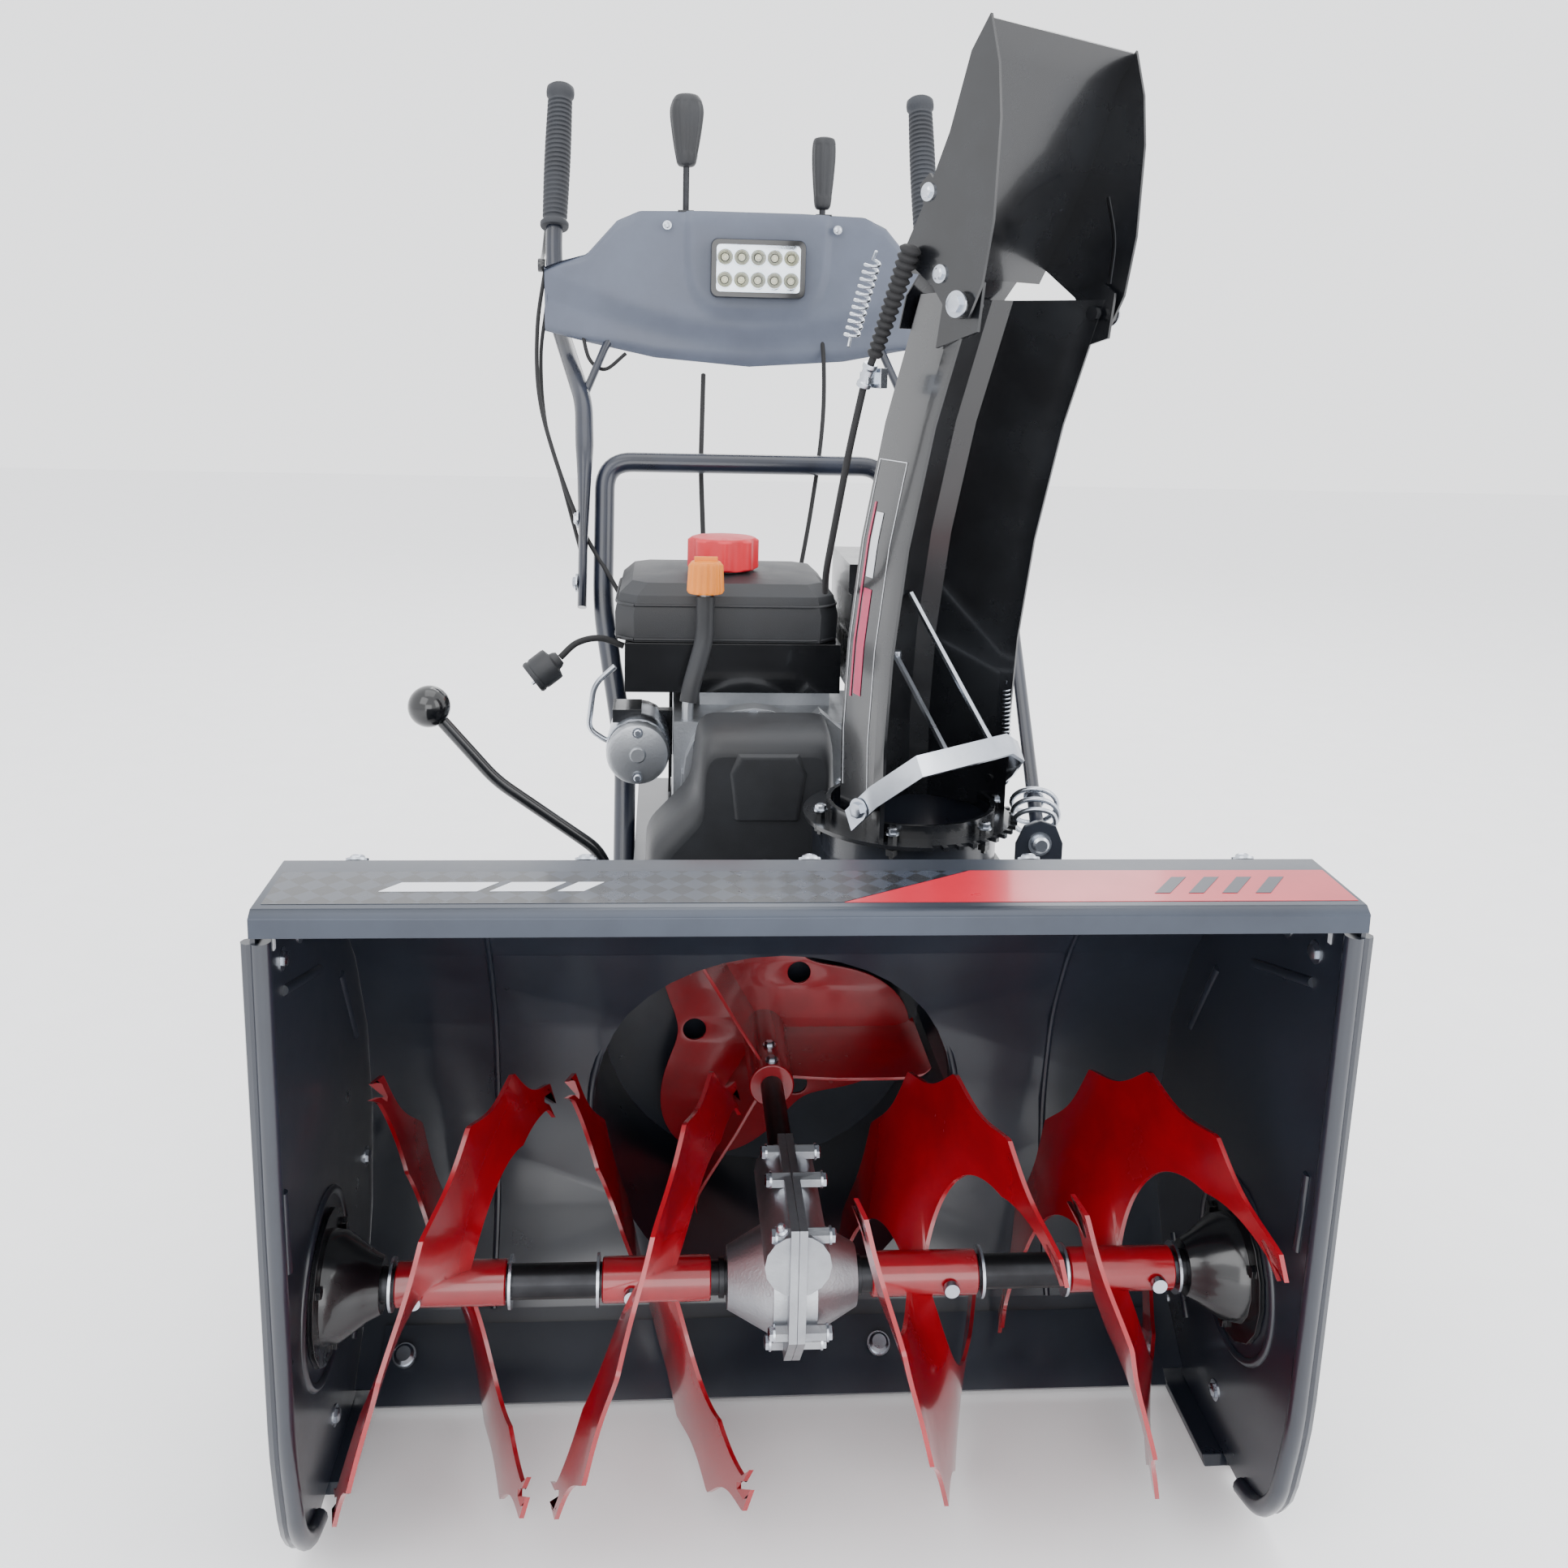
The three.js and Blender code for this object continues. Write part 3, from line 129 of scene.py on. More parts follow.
# Stoved enamel on pressed steel: very dark navy, glossy, with faint orange peel some 3 mm across.
HOUSING = finish_coat("navy_enamel_on_pressed_steel", "#1c2029", "#20252f", 0.30, 0.03, 3.0, 0.04, 0.12,
                      Coat_Weight=0.35, Coat_Roughness=0.14)
# Metallic grey enamel: a satin shine with flake too fine to see, drawn as a 1 mm grain.
RAIL = finish_coat("grey_metallic_enamel", "#2f3540", "#353c48", 0.36, 0.05, 1.0, 0.03, 0.2,
                   Metallic=0.55, Coat_Weight=0.3, Coat_Roughness=0.2)
# Gloss red enamel on plate: deep and wet looking, dulled in patches by snow and grit.
RED = finish_coat("red_enamel_on_plate", "#8f0a18", "#7a0814", 0.22, 0.07, 3.5, 0.12, 0.25,
                  Coat_Weight=0.5, Coat_Roughness=0.08)
# Gloss black powder coat: smooth, with a slight orange peel.
BLACK = finish_coat("black_powder_coat", "#0c0d10", "#15171b", 0.26, 0.06, 2.5, 0.08, 0.25,
                    Coat_Weight=0.4, Coat_Roughness=0.1)
# Dark blue-black powder coat on bent tube.
TUBE = finish_coat("blue_black_powder_coat_on_tube", "#131722", "#1b2130", 0.3, 0.05, 2.0, 0.05, 0.2,
                   Coat_Weight=0.3, Coat_Roughness=0.15)
# Sand or die cast aluminium: bright grey with a pebbled skin of about 2 mm.
CAST = finish_coat("cast_aluminium", "#b4b7bb", "#9a9da2", 0.42, 0.08, 1.8, 0.35, 0.5, Metallic=1.0)
# Bright zinc plate: bluish white metal with cloudy patches.
ZINC = finish_coat("bright_zinc_plate", "#c9ced6", "#aab0ba", 0.27, 0.09, 1.2, 0.05, 0.2, Metallic=1.0)
# Oiled black steel: dark, even, slightly brown.
STEEL = finish_coat("oiled_dark_steel", "#3a3b3e", "#29292b", 0.36, 0.07, 1.5, 0.05, 0.3, Metallic=0.95)
# Moulded rubber: near black and matt, with a dusty bloom.
RUBBER = finish_coat("moulded_rubber", "#141416", "#1e1e20", 0.78, 0.08, 1.2, 0.20, 0.5)
# Textured polypropylene: dark grey-black with a spark-eroded grain under 1 mm.
PLASTIC = finish_coat("black_textured_polypropylene", "#1a1b1e", "#222428", 0.52, 0.06, 0.9, 0.22, 0.6)
# Gloss ABS: smooth moulded black.
GLOSS = finish_coat("black_gloss_abs", "#0a0b0d", "#101114", 0.17, 0.04, 4.0, 0.04, 0.2, Coat_Weight=0.4,
                    Coat_Roughness=0.05)
# Slate grey ABS of the panel: satin with a fine leather grain.
SLATE = finish_coat("slate_grey_abs", "#4d5361", "#535a69", 0.44, 0.05, 0.9, 0.12, 0.45)
# Soft thermoplastic rubber of the grips.
GRIP = finish_coat("soft_grip_rubber", "#24262b", "#2e3137", 0.66, 0.07, 0.8, 0.10, 0.5)
# Coloured caps: satin moulded plastic.
CAP_RED = finish_coat("red_moulded_cap", "#c9182a", "#b81525", 0.42, 0.05, 1.0, 0.08, 0.4)
CAP_ORANGE = finish_coat("orange_moulded_cap", "#e08018", "#d07414", 0.45, 0.05, 1.0, 0.08, 0.4)
# Printed vinyl film: flat, even colour under a thin gloss.
FILM_CRIMSON = finish_coat("crimson_vinyl_film", "#b80d2a", "#ad0c27", 0.3, 0.03, 5.0, 0.02, 0.1,
                           Coat_Weight=0.3, Coat_Roughness=0.1)
FILM_PINK = finish_coat("pink_vinyl_film", "#b8305a", "#a92850", 0.32, 0.03, 5.0, 0.02, 0.1)
FILM_WHITE = finish_coat("white_vinyl_film", "#d9dbe0", "#cfd2d8", 0.32, 0.03, 5.0, 0.02, 0.1)
FILM_GREY = finish_coat("grey_vinyl_film", "#2c3039", "#343944", 0.3, 0.03, 5.0, 0.02, 0.1)
# Bright reflector behind the lamp: vacuum-plated plastic.
MIRROR = finish_coat("plated_reflector", "#d5d8dc", "#c6cace", 0.12, 0.03, 6.0, 0.02, 0.1, Metallic=1.0)
# Phosphor of the lamp's diodes: pale yellow.
DIODE = finish_coat("diode_phosphor", "#e8dfae", "#f1ead0", 0.3, 0.03, 1.0, 0.02, 0.1)
# Clear polycarbonate of the lamp's cover: smooth, and lets the reflector show.
LENS = finish_coat("clear_polycarbonate", "#f6f9fc", "#f3f6f9", 0.04, 0.01, 30.0, 0.002, 0.02,
                   Transmission_Weight=1.0, IOR=1.2)


def carbon_weave():
    """Printed carbon weave film: squares some 6 mm across, turned 45 degrees, in two near-black greys."""
    material = finish_coat("carbon_weave_film", "#14171d", "#1a1e26", 0.28, 0.03, 5.0, 0.02, 0.1,
                           Coat_Weight=0.4, Coat_Roughness=0.08)
    tree = material.node_tree
    bsdf = next(n for n in tree.nodes if n.type == "BSDF_PRINCIPLED")
    where = put(tree, "ShaderNodeTexCoord").outputs["Object"]
    turned = put(tree, "ShaderNodeMapping", {"Vector": where, "Rotation": (0, 0, math.radians(45)),
                                             "Location": (0.0013, 0.0013, 0.5)})
    checks = put(tree, "ShaderNodeTexChecker", {"Vector": turned.outputs[0], "Scale": 1000 / 6 / 2,
                                                "Color1": linear("#12151b"), "Color2": linear("#2a303b")})
    tree.links.new(checks.outputs[0], bsdf.inputs["Base Color"])
    return material


CARBON = carbon_weave()


# ---------- making pieces ----------
def settle(mesh, name, material, body, bevel_mm=0.0, smooth_deg=38.0, segments=2):
    """Rounds a mesh's edges, shades it, links it as a piece and lets it ride on its body."""
    mesh.materials.clear()
    mesh.materials.append(material)
    made = bpy.data.objects.new(name, mesh)
    bpy.context.scene.collection.objects.link(made)
    if bevel_mm:
        bevel = made.modifiers.new("edge_radius", "BEVEL")
        bevel.width = bevel_mm / 1000
        bevel.segments = segments
        bevel.limit_method = "ANGLE"
        bevel.angle_limit = math.radians(smooth_deg)
        bevel.use_clamp_overlap = True
    mesh.shade_smooth()
    if bevel_mm:
        even = made.modifiers.new("even_faces", "WEIGHTED_NORMAL")
        even.keep_sharp = True
        depsgraph = bpy.context.evaluated_depsgraph_get()
        baked = bpy.data.meshes.new_from_object(made.evaluated_get(depsgraph))
        made.modifiers.clear()
        made.data = baked
    else:
        mesh.set_sharp_from_angle(angle=math.radians(smooth_deg))
    made.data.name = name
    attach(made, body)
    return made


def refine(node, material, bevel_mm=0.8, smooth_deg=38.0, segments=2):
    """A finished piece on a CAD node's shape: joined faces, rounded edges."""
    mesh = frame["nodes"][node].data.copy()
    bm = bmesh.new()
    bm.from_mesh(mesh)
    bmesh.ops.remove_doubles(bm, verts=bm.verts, dist=2e-5)
    bmesh.ops.dissolve_limit(bm, angle_limit=math.radians(0.8), verts=bm.verts, edges=bm.edges)
    bm.to_mesh(mesh)
    bm.free()
    made = settle(mesh, node + "_finished", material, frame["nodes"][node]["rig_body"], bevel_mm,
                  smooth_deg, segments)
    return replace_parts(made, node)


def bend(points, size, steps=6):
    """Rounds each inner corner of a path."""
    points = [Vector(p) for p in points]
    path = [points[0]]
    for before, p, after in zip(points, points[1:], points[2:]):
        reach = min(size, (before - p).length * 0.45, (after - p).length * 0.45)
        a = p + (before - p).normalized() * reach
        b = p + (after - p).normalized() * reach
        path += [a.lerp(p, k / steps).lerp(p.lerp(b, k / steps), k / steps) for k in range(steps + 1)]
    return path + [points[-1]]


def smooth_path(points, steps=8):
    """A smooth curve through points."""
    points = [Vector(p) for p in points]
    ends = [points[0] * 2 - points[1]] + points + [points[-1] * 2 - points[-2]]
    path = []
    for a, b, c, d in zip(ends, ends[1:], ends[2:], ends[3:]):
        for i in range(steps):
            t = i / steps
            path.append(0.5 * ((2 * b) + (c - a) * t + (2 * a - 5 * b + 4 * c - d) * t * t
                               + (3 * b - a - 3 * c + d) * t ** 3))
    return path + [points[-1]]


class Shape:
    """Closed shells in the drawing's millimetres, gathered into one piece."""

    def __init__(self):
        self.points = []
        self.faces = []

    def shell(self, points, faces):
        base = len(self.points)
        self.points += points
        self.faces += [[base + i for i in face] for face in faces]
        return self

    def loft(self, rings, closed=False):
        n = len(rings[0])
        spans = len(rings) if closed else len(rings) - 1
        points = [Vector(p) for ring in rings for p in ring]
        faces = []
        for i in range(spans):
            for j in range(n):
                k = (j + 1) % n
                up = ((i + 1) % len(rings)) * n
                faces.append([i * n + j, i * n + k, up + k, up + j])
        if not closed:
            faces += [list(range(n))[::-1], list(range((len(rings) - 1) * n, len(rings) * n))]
        return self.shell(points, faces)

    def lathe(self, profile, at, axis, sides=48, wave=None):
        """Turns [radius, height] stations about an axis; wave(angle, height) adds to the radius."""
        turn = Vector((0, 0, 1)).rotation_difference(Vector(axis).normalized()).to_matrix()
        at = Vector(at)
        rings = []
        for r, h in profile:
            ring = []
            for j in range(sides):
                a = 2 * math.pi * j / sides
                radius = max(r + (wave(a, h) if wave else 0), 0.01)
                ring.append(at + turn @ Vector((radius * math.cos(a), radius * math.sin(a), h)))
            rings.append(ring)
        return self.loft(rings)

    def sweep(self, path, r, sides=16, squash=None, closed=False, side=None):
        """A bar along a path; squash(k) gives its two scales at share k of the way."""
        path = [Vector(p) for p in path]
        rings = []
        for i, p in enumerate(path):
            before = path[i - 1] if i or closed else path[0]
            after = path[(i + 1) % len(path)] if i + 1 < len(path) or closed else path[-1]
            t = (after - before).normalized()
            if side is None:
                side = X if abs(t.x) < 0.9 else Y
            side = (side - t * side.dot(t)).normalized()
            up = t.cross(side)
            wide, deep = squash(i / (len(path) - 1)) if squash else (1, 1)
            rings.append([p + side * (r * wide * math.cos(2 * math.pi * k / sides))
                          + up * (r * deep * math.sin(2 * math.pi * k / sides)) for k in range(sides)])
        return self.loft(rings, closed)

    def block(self, low, high):
        xs, ys, zs = zip(low, high)
        points = [Vector((x, y, z)) for z in zs for y in ys for x in xs]
        sides = [[0, 2, 3, 1], [4, 5, 7, 6], [0, 1, 5, 4], [2, 6, 7, 3], [0, 4, 6, 2], [1, 3, 7, 5]]
        return self.shell(points, sides)

    def slab(self, outline, at):
        """A plate between two levels; at(a, b, side) gives the point for an outline's a, b."""
        return self.loft([[at(a, b, side) for a, b in outline] for side in (0, 1)])

    def make(self, name, material, body, slot, bevel_mm=0.0, smooth_deg=38.0, segments=2):
        mesh = bpy.data.meshes.new(name)
        mesh.from_pydata([place(p) for p in self.points], [], self.faces)
        bm = bmesh.new()
        bm.from_mesh(mesh)
        bmesh.ops.recalc_face_normals(bm, faces=bm.faces)
        bm.to_mesh(mesh)
        bm.free()
        return settle(mesh, name, material, body, bevel_mm, smooth_deg, segments)


def sheet_with_holes(name, outline, holes, thick, at, material, body, bevel_mm=0.4):
    """A flat plate with round holes. at is the matrix from its plane, in millimetres, to the drawing."""
    curve = bpy.data.curves.new(name, "CURVE")
    curve.dimensions = "2D"
    curve.fill_mode = "BOTH"
    curve.extrude = max(thick / 2 - bevel_mm, 0.05)
    curve.bevel_depth = bevel_mm
    curve.offset = -bevel_mm
    rounds = [[(x + r * math.cos(i * math.pi / 16), y + r * math.sin(i * math.pi / 16)) for i in range(32)]
              for x, y, r in holes]
    for line in [outline] + rounds:
        spline = curve.splines.new("POLY")
        spline.points.add(len(line) - 1)
        for point, (x, y) in zip(spline.points, line):
            point.co = (x, y, 0, 1)
        spline.use_cyclic_u = True
    holder = bpy.data.objects.new(name, curve)
    bpy.context.scene.collection.objects.link(holder)
    depsgraph = bpy.context.evaluated_depsgraph_get()
    mesh = bpy.data.meshes.new_from_object(holder.evaluated_get(depsgraph))
    bpy.data.objects.remove(holder)
    mesh.transform(at)
    for vertex in mesh.vertices:
        vertex.co = place(vertex.co)
    bm = bmesh.new()
    bm.from_mesh(mesh)
    bmesh.ops.remove_doubles(bm, verts=bm.verts, dist=1e-6)
    bmesh.ops.recalc_face_normals(bm, faces=bm.faces)
    bm.to_mesh(mesh)
    bm.free()
    return settle(mesh, name, material, body)


def plane(origin, across, up):
    """The matrix of a plane through origin; its third axis is the plate's thickness."""
    across, up = Vector(across).normalized(), Vector(up).normalized()
    out = across.cross(up)
    made = Matrix((across, up, out)).transposed().to_4x4()
    made.translation = Vector(origin)
    return made


def bolt_tree():
    """Geometry nodes for bolts: a washer, a head and its chamfer on each point, along its own direction."""
    tree = bpy.data.node_groups.new("bolts_on_points", "GeometryNodeTree")
    for name, kind in (("Geometry", "NodeSocketGeometry"), ("Head radius", "NodeSocketFloat"),
                       ("Head height", "NodeSocketFloat"), ("Washer radius", "NodeSocketFloat"),
                       ("Washer height", "NodeSocketFloat"), ("Sides", "NodeSocketInt"),
                       ("Crown", "NodeSocketFloat"), ("Material", "NodeSocketMaterial")):
        tree.interface.new_socket(name, in_out="INPUT", socket_type=kind)
    tree.interface.new_socket("Geometry", in_out="OUTPUT", socket_type="NodeSocketGeometry")
    given = put(tree, "NodeGroupInput").outputs
    washer = put(tree, "GeometryNodeMeshCone", {"Vertices": 24, "Radius Top": given["Washer radius"],
                                                "Radius Bottom": given["Washer radius"],
                                                "Depth": given["Washer height"]})
    head = put(tree, "GeometryNodeMeshCone", {"Vertices": given["Sides"], "Radius Top": given["Head radius"],
                                              "Radius Bottom": given["Head radius"],
                                              "Depth": given["Head height"]})
    crown_r = put(tree, "ShaderNodeMath", {0: given["Head radius"], 1: 0.72}, operation="MULTIPLY")
    crown = put(tree, "GeometryNodeMeshCone", {"Vertices": given["Sides"], "Radius Top": crown_r.outputs[0],
                                               "Radius Bottom": given["Head radius"], "Depth": given["Crown"]})
    lift = put(tree, "ShaderNodeCombineXYZ", {"Z": given["Head height"]})
    raised = put(tree, "GeometryNodeTransform", {"Geometry": crown.outputs[0], "Translation": lift.outputs[0]})
    bolt = put(tree, "GeometryNodeJoinGeometry")
    for part in (washer, head, raised):
        tree.links.new(part.outputs[0], bolt.inputs[0])
    spots = put(tree, "GeometryNodeMeshToPoints", {"Mesh": given["Geometry"]})
    way = put(tree, "GeometryNodeInputNamedAttribute", {"Name": "way"}, data_type="FLOAT_VECTOR")
    turn = put(tree, "FunctionNodeAlignRotationToVector", {"Vector": way.outputs["Attribute"]}, axis="Z")
    many = put(tree, "GeometryNodeInstanceOnPoints", {"Points": spots.outputs[0], "Instance": bolt.outputs[0],
                                                      "Rotation": turn.outputs[0]})
    real = put(tree, "GeometryNodeRealizeInstances", {"Geometry": many.outputs[0]})
    coated = put(tree, "GeometryNodeSetMaterial", {"Geometry": real.outputs[0], "Material": given["Material"]})
    put(tree, "NodeGroupOutput", {"Geometry": coated.outputs[0]})
    return tree


BOLTS = bolt_tree()


def bolts(name, spots, body, material, head=6.5, height=5.0, washer=9.0, sides=6, crown=1.0, thick=1.6):
    """Bolts at (point, direction) spots of the drawing, as one piece."""
    mesh = bpy.data.meshes.new(name)
    mesh.from_pydata([place(p) for p, _ in spots], [], [])
    way = mesh.attributes.new("way", "FLOAT_VECTOR", "POINT")
    for item, (_, direction) in zip(way.data, spots):
        item.vector = Vector(direction).normalized()
    holder = bpy.data.objects.new(name + "_spots", mesh)
    bpy.context.scene.collection.objects.link(holder)
    modifier = holder.modifiers.new("bolts", "NODES")
    modifier.node_group = BOLTS
    values = {"Head radius": head / 1000, "Head height": height / 1000, "Washer radius": washer / 1000,
              "Washer height": thick / 1000, "Sides": sides, "Crown": crown / 1000, "Material": material}
    for item in BOLTS.interface.items_tree:
        if item.in_out == "INPUT" and item.name in values:
            modifier[item.identifier] = values[item.name]
    depsgraph = bpy.context.evaluated_depsgraph_get()
    baked = bpy.data.meshes.new_from_object(holder.evaluated_get(depsgraph))
    bpy.data.objects.remove(holder)
    return settle(baked, name, material, body)


# ---------- stage, light and camera ----------
def stage():
    """A wide pale floor under soft lights and an even sky."""
    pale = finish_coat("pale_studio_floor", "#f4f4f5", "#f6f6f7", 0.75, 0.03, 40.0, 0.02, 0.05)
    mesh = bpy.data.meshes.new("floor")
    reach = 9
    mesh.from_pydata([(-reach, -reach, 0), (reach, -reach, 0), (reach, reach, 0), (-reach, reach, 0)], [],
                     [(0, 1, 2, 3)])
    mesh.materials.append(pale)
    floor = bpy.data.objects.new("floor", mesh)
    bpy.context.scene.collection.objects.link(floor)
    world = bpy.data.worlds.new("studio")
    world.use_nodes = True
    world.node_tree.nodes["Background"].inputs[0].default_value = linear("#f6f7f9")
    world.node_tree.nodes["Background"].inputs[1].default_value = 2.3
    bpy.context.scene.world = world
    # (place, size, watts): a wide key from the upper left front, a fill from the right, a rim from behind.
    for name, spot, size, power in (("key", (-1.6, -2.6, 3.0), 2.4, 50), ("fill", (2.6, -1.6, 1.9), 2.2, 40),
                                    ("rim", (0.6, 2.8, 2.8), 2.0, 45), ("top", (0.0, 0.0, 3.8), 2.6, 35),
                                    ("low", (0.0, -3.0, 0.7), 1.8, 30)):
        light = bpy.data.lights.new(name, "AREA")
        light.size = size
        light.energy = power
        holder = bpy.data.objects.new(name, light)
        holder.location = spot
        holder.rotation_euler = (Vector((0, 0, 0.5)) - Vector(spot)).to_track_quat("-Z", "Y").to_euler()
        bpy.context.scene.collection.objects.link(holder)


def camera():
    """A near lens a little to the left of the middle, looking slightly down at the intake."""
    yaw, pitch, roll = 0.0709, 0.1795, 0.0232
    ahead = Vector((math.sin(yaw) * math.cos(pitch), math.cos(yaw) * math.cos(pitch), -math.sin(pitch)))
    level = Vector((math.cos(yaw), -math.sin(yaw), 0))
    upright = level.cross(ahead)
    right = level * math.cos(roll) + upright * math.sin(roll)
    up = upright * math.cos(roll) - level * math.sin(roll)
    data = bpy.data.cameras.new("camera")
    data.sensor_width = 36
    data.lens = 31.98
    data.shift_x = 0.0155
    data.shift_y = -0.104
    data.clip_start = 0.05
    seen = bpy.data.objects.new("camera", data)
    turned = Matrix((right, up, -ahead)).transposed().to_4x4()
    turned.translation = place((-100.9, -799.1, 831.8))
    seen.matrix_world = turned
    bpy.context.scene.collection.objects.link(seen)
    bpy.context.scene.camera = seen


stage()
camera()

# ---------- starter lead and plug ----------
LEAD = [(-142, 660, 538), (-166, 655, 547), (-190, 649, 543), (-207.6, 643.6, 528)]


def starter_lead():
    line = smooth_path(LEAD, 8)
    cord = Shape().sweep(line, 3.5, 16).make("starter_lead", RUBBER, "machine", "rubber")
    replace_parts(cord, "power_cord")
    way = (Vector((-236, 636, 507)) - Vector((-208, 643, 528))).normalized()
    start = Vector((-208, 643, 528))
    profile = [[0, 0], [7, 0], [9, 3], [10, 7], [17.5, 9], [18, 12], [18, 27], [17, 29], [17, 30], [18, 31],
               [18, 34], [16.5, 36], [13, 36], [13, 31], [0, 31]]
    plug = Shape().lathe(profile, start, way, 40)
    plug = plug.make("starter_plug", PLASTIC, "machine", "black_plastic")
    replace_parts(plug, "power_plug")
    pins = [(start + way * 31 + Vector((0, 5, 5)) * k, way) for k in (-1, 0, 1)]
    blades = bolts("plug_pins", pins, "machine", ZINC, 1.8, 4, 2.2, 12, 0.4, 0.5)
    points = [place(p) for p in line]


starter_lead()

# ---------- intake housing ----------
refine("auger_housing", HOUSING, 0.7)
refine("top_rail", RAIL, 0.7)
refine("scraper_bar", HOUSING, 0.8)
for side_name, s in SIDES:
    refine("side_plate_" + side_name, HOUSING, 0.6)
    refine("skid_shoe_" + side_name, HOUSING, 0.8)
    refine("auger_bearing_" + side_name, BLACK, 1.0)


def ring_line(centre, axis, r, count=64):
    """Points round a circle about an axis."""
    turn = Z.rotation_difference(Vector(axis)).to_matrix()
    return [Vector(centre) + turn @ Vector((r * math.cos(2 * math.pi * i / count),
                                            r * math.sin(2 * math.pi * i / count), 0)) for i in range(count)]


def housing_details():
    # Pressed rings and ribs stand on the inner faces of the side plates.
    for side_name, s in SIDES:
        inside = s * (HALF_WIDTH - 2.6)
        ribs = Shape()
        ribs.sweep(ring_line((inside, AUGER_Y, AUGER_Z), X, 66), 3.4, 10, closed=True)
        for line in ([(60, 430), (150, 404)], [(40, 300), (44, 240)], [(212, 372), (256, 300)],
                     [(256, 110), (214, 60)]):
            (y0, z0), (y1, z1) = line
            ribs.sweep([(inside, y0 + (y1 - y0) * k / 6, z0 + (z1 - z0) * k / 6) for k in range(7)], 3.6, 10)
        flange = [(8, 486), (12, 300), (18, 122), (32, 53), (56, 22), (88, 13)]
        ribs.sweep(bend([(s * (HALF_WIDTH - 5), y, z) for y, z in flange], 25), 6.4, 12)
        ribs.make("side_ribs_" + side_name, HOUSING, "machine", "housing_paint")
        slots = Shape()
        for y in (40, 74):
            slots.block((min(inside, inside - s * 1.2), y, 466), (max(inside, inside - s * 1.2), y + 4, 480))
        slots.make("side_slots_" + side_name, FILM_WHITE, "machine", "housing_paint")
        spots = [((s * (HALF_WIDTH - 2.2), y, z), (-s, 0, 0)) for y, z in
                 ((104, 452), (60, 452), (150, 44), (262, 44), (280, 180))]
        bolts("side_bolts_" + side_name, spots, "machine", ZINC, 5.5, 3.6, 8)
    # A pressed seam runs down the back sheet on each side of the drum's mouth.
    back = [(108, 486), (152, 469), (214, 424), (261, 365), (297, 291), (308, 207), (297, 124), (259, 51)]
    seams = Shape()
    for x in (-236, 236):
        seams.sweep(bend([(x, y, z) for y, z in back], 30), 2.6, 8)
    seams.make("back_seams", HOUSING, "machine", "housing_paint")
    rim = Shape().sweep(ring_line((0, 304, IMPELLER_Z), Y, 158), 3.0, 10, closed=True)
    rim.make("drum_mouth_bead", HOUSING, "machine", "housing_paint")
    # Domed carriage bolts hold the scraper bar: (along, out) runs up the lip and into the housing.
    lip, into = Vector((0, 0.794, 0.608)), Vector((0, -0.608, 0.794))
    spots = [(Vector((x, 215, 12)) + lip * 22 + into * 12.2, into) for x in (-304, -85, 85, 304)]
    bolts("scraper_bolts", spots, "machine", ZINC, 8, 3, 9.6, 24, 3.0, 0.8)
    bolts("rail_bolts", [((x, 92, 506), (0, 0.5, 1)) for x in (-300, -150, 0, 150, 300)], "machine",
          ZINC, 5, 3, 7.5)


housing_details()


def rail_film():
    """Printed films on the rail: a carbon weave on the left, a slanting crimson field on the right."""
    def on_rail(lift):
        return lambda x, y, side: (x, y, 507.3 + (y - 6) * 2.5 / 76 + lift + 0.25 * side)
    Shape().slab([(-340, 12), (12, 12), (101, 62), (-340, 62)], on_rail(0.25)).make(
        "rail_film_carbon", CARBON, "machine", "rail_paint")
    Shape().slab([(13.5, 12), (342, 12), (342, 62), (102.5, 62)], on_rail(0.25)).make(
        "rail_film_crimson", FILM_CRIMSON, "machine", "rail_paint")
    dark, pale = Shape(), Shape()
    for start in (214, 236, 258, 280):
        dark.slab([(start, 24), (start + 10, 24), (start + 30, 50), (start + 20, 50)], on_rail(0.55))
    for start, wide in ((-274, 60), (-206, 34), (-164, 16)):
        pale.slab([(start, 30), (start + wide, 30), (start + wide + 12, 44), (start + 12, 44)], on_rail(0.55))
    dark.make("rail_film_slashes", FILM_GREY, "machine", "rail_paint")
    pale.make("rail_film_bars", FILM_WHITE, "machine", "rail_paint")


rail_film()

# ---------- auger ----------
WING_DEG, WING_SPAN = 190, 128


def flight(node, middle, s, start):
    """A toothed helical flight: two wings, each joined to the hub by a web, on one hub."""
    shape = Shape()
    shape.lathe([[13, -40], [15, -40], [16, -39], [16, 39], [15, 40], [13, 40]], (middle, AUGER_Y, AUGER_Z), X, 40)
    steps, web_deg, fork_deg = 150, 84, 7
    for turn in (0, 180):
        rings = []
        for i in range(steps + 1):
            front, back = [], []
            for share in (0, 0.2, 0.4, 0.6, 0.8, 1):
                # Each wing's ends are forked: the sheet's edges run on past its middle.
                fork = fork_deg * (abs(2 * share - 1) * 2 - 1)
                deg = -fork + (WING_DEG + 2 * fork) * i / steps
                reach = web_deg if deg < web_deg else WING_DEG - web_deg
                away = min(max((abs(deg - web_deg) - 12) / (reach - 12), 0), 1)
                inner = 14 + 84 * (1 - (1 - away) ** 2.6) + 30 * max(0, away - 0.7) / 0.3
                notch = 14 * abs(math.sin(math.pi * deg / 31.7))
                outer = AUGER_R - notch
                r = inner + (outer - inner) * share
                a = math.radians(start + turn + deg)
                x = middle + s * (-WING_SPAN / 2 + 3 + WING_SPAN * deg / WING_DEG)
                for line, dx in ((front, -1.6), (back, 1.6)):
                    line.append((x + dx, AUGER_Y - r * math.sin(a), AUGER_Z + r * math.cos(a)))
            rings.append(front + back[::-1])
        shape.loft(rings)
    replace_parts(shape.make(node + "_blades", RED, "auger", "red_paint"), node)


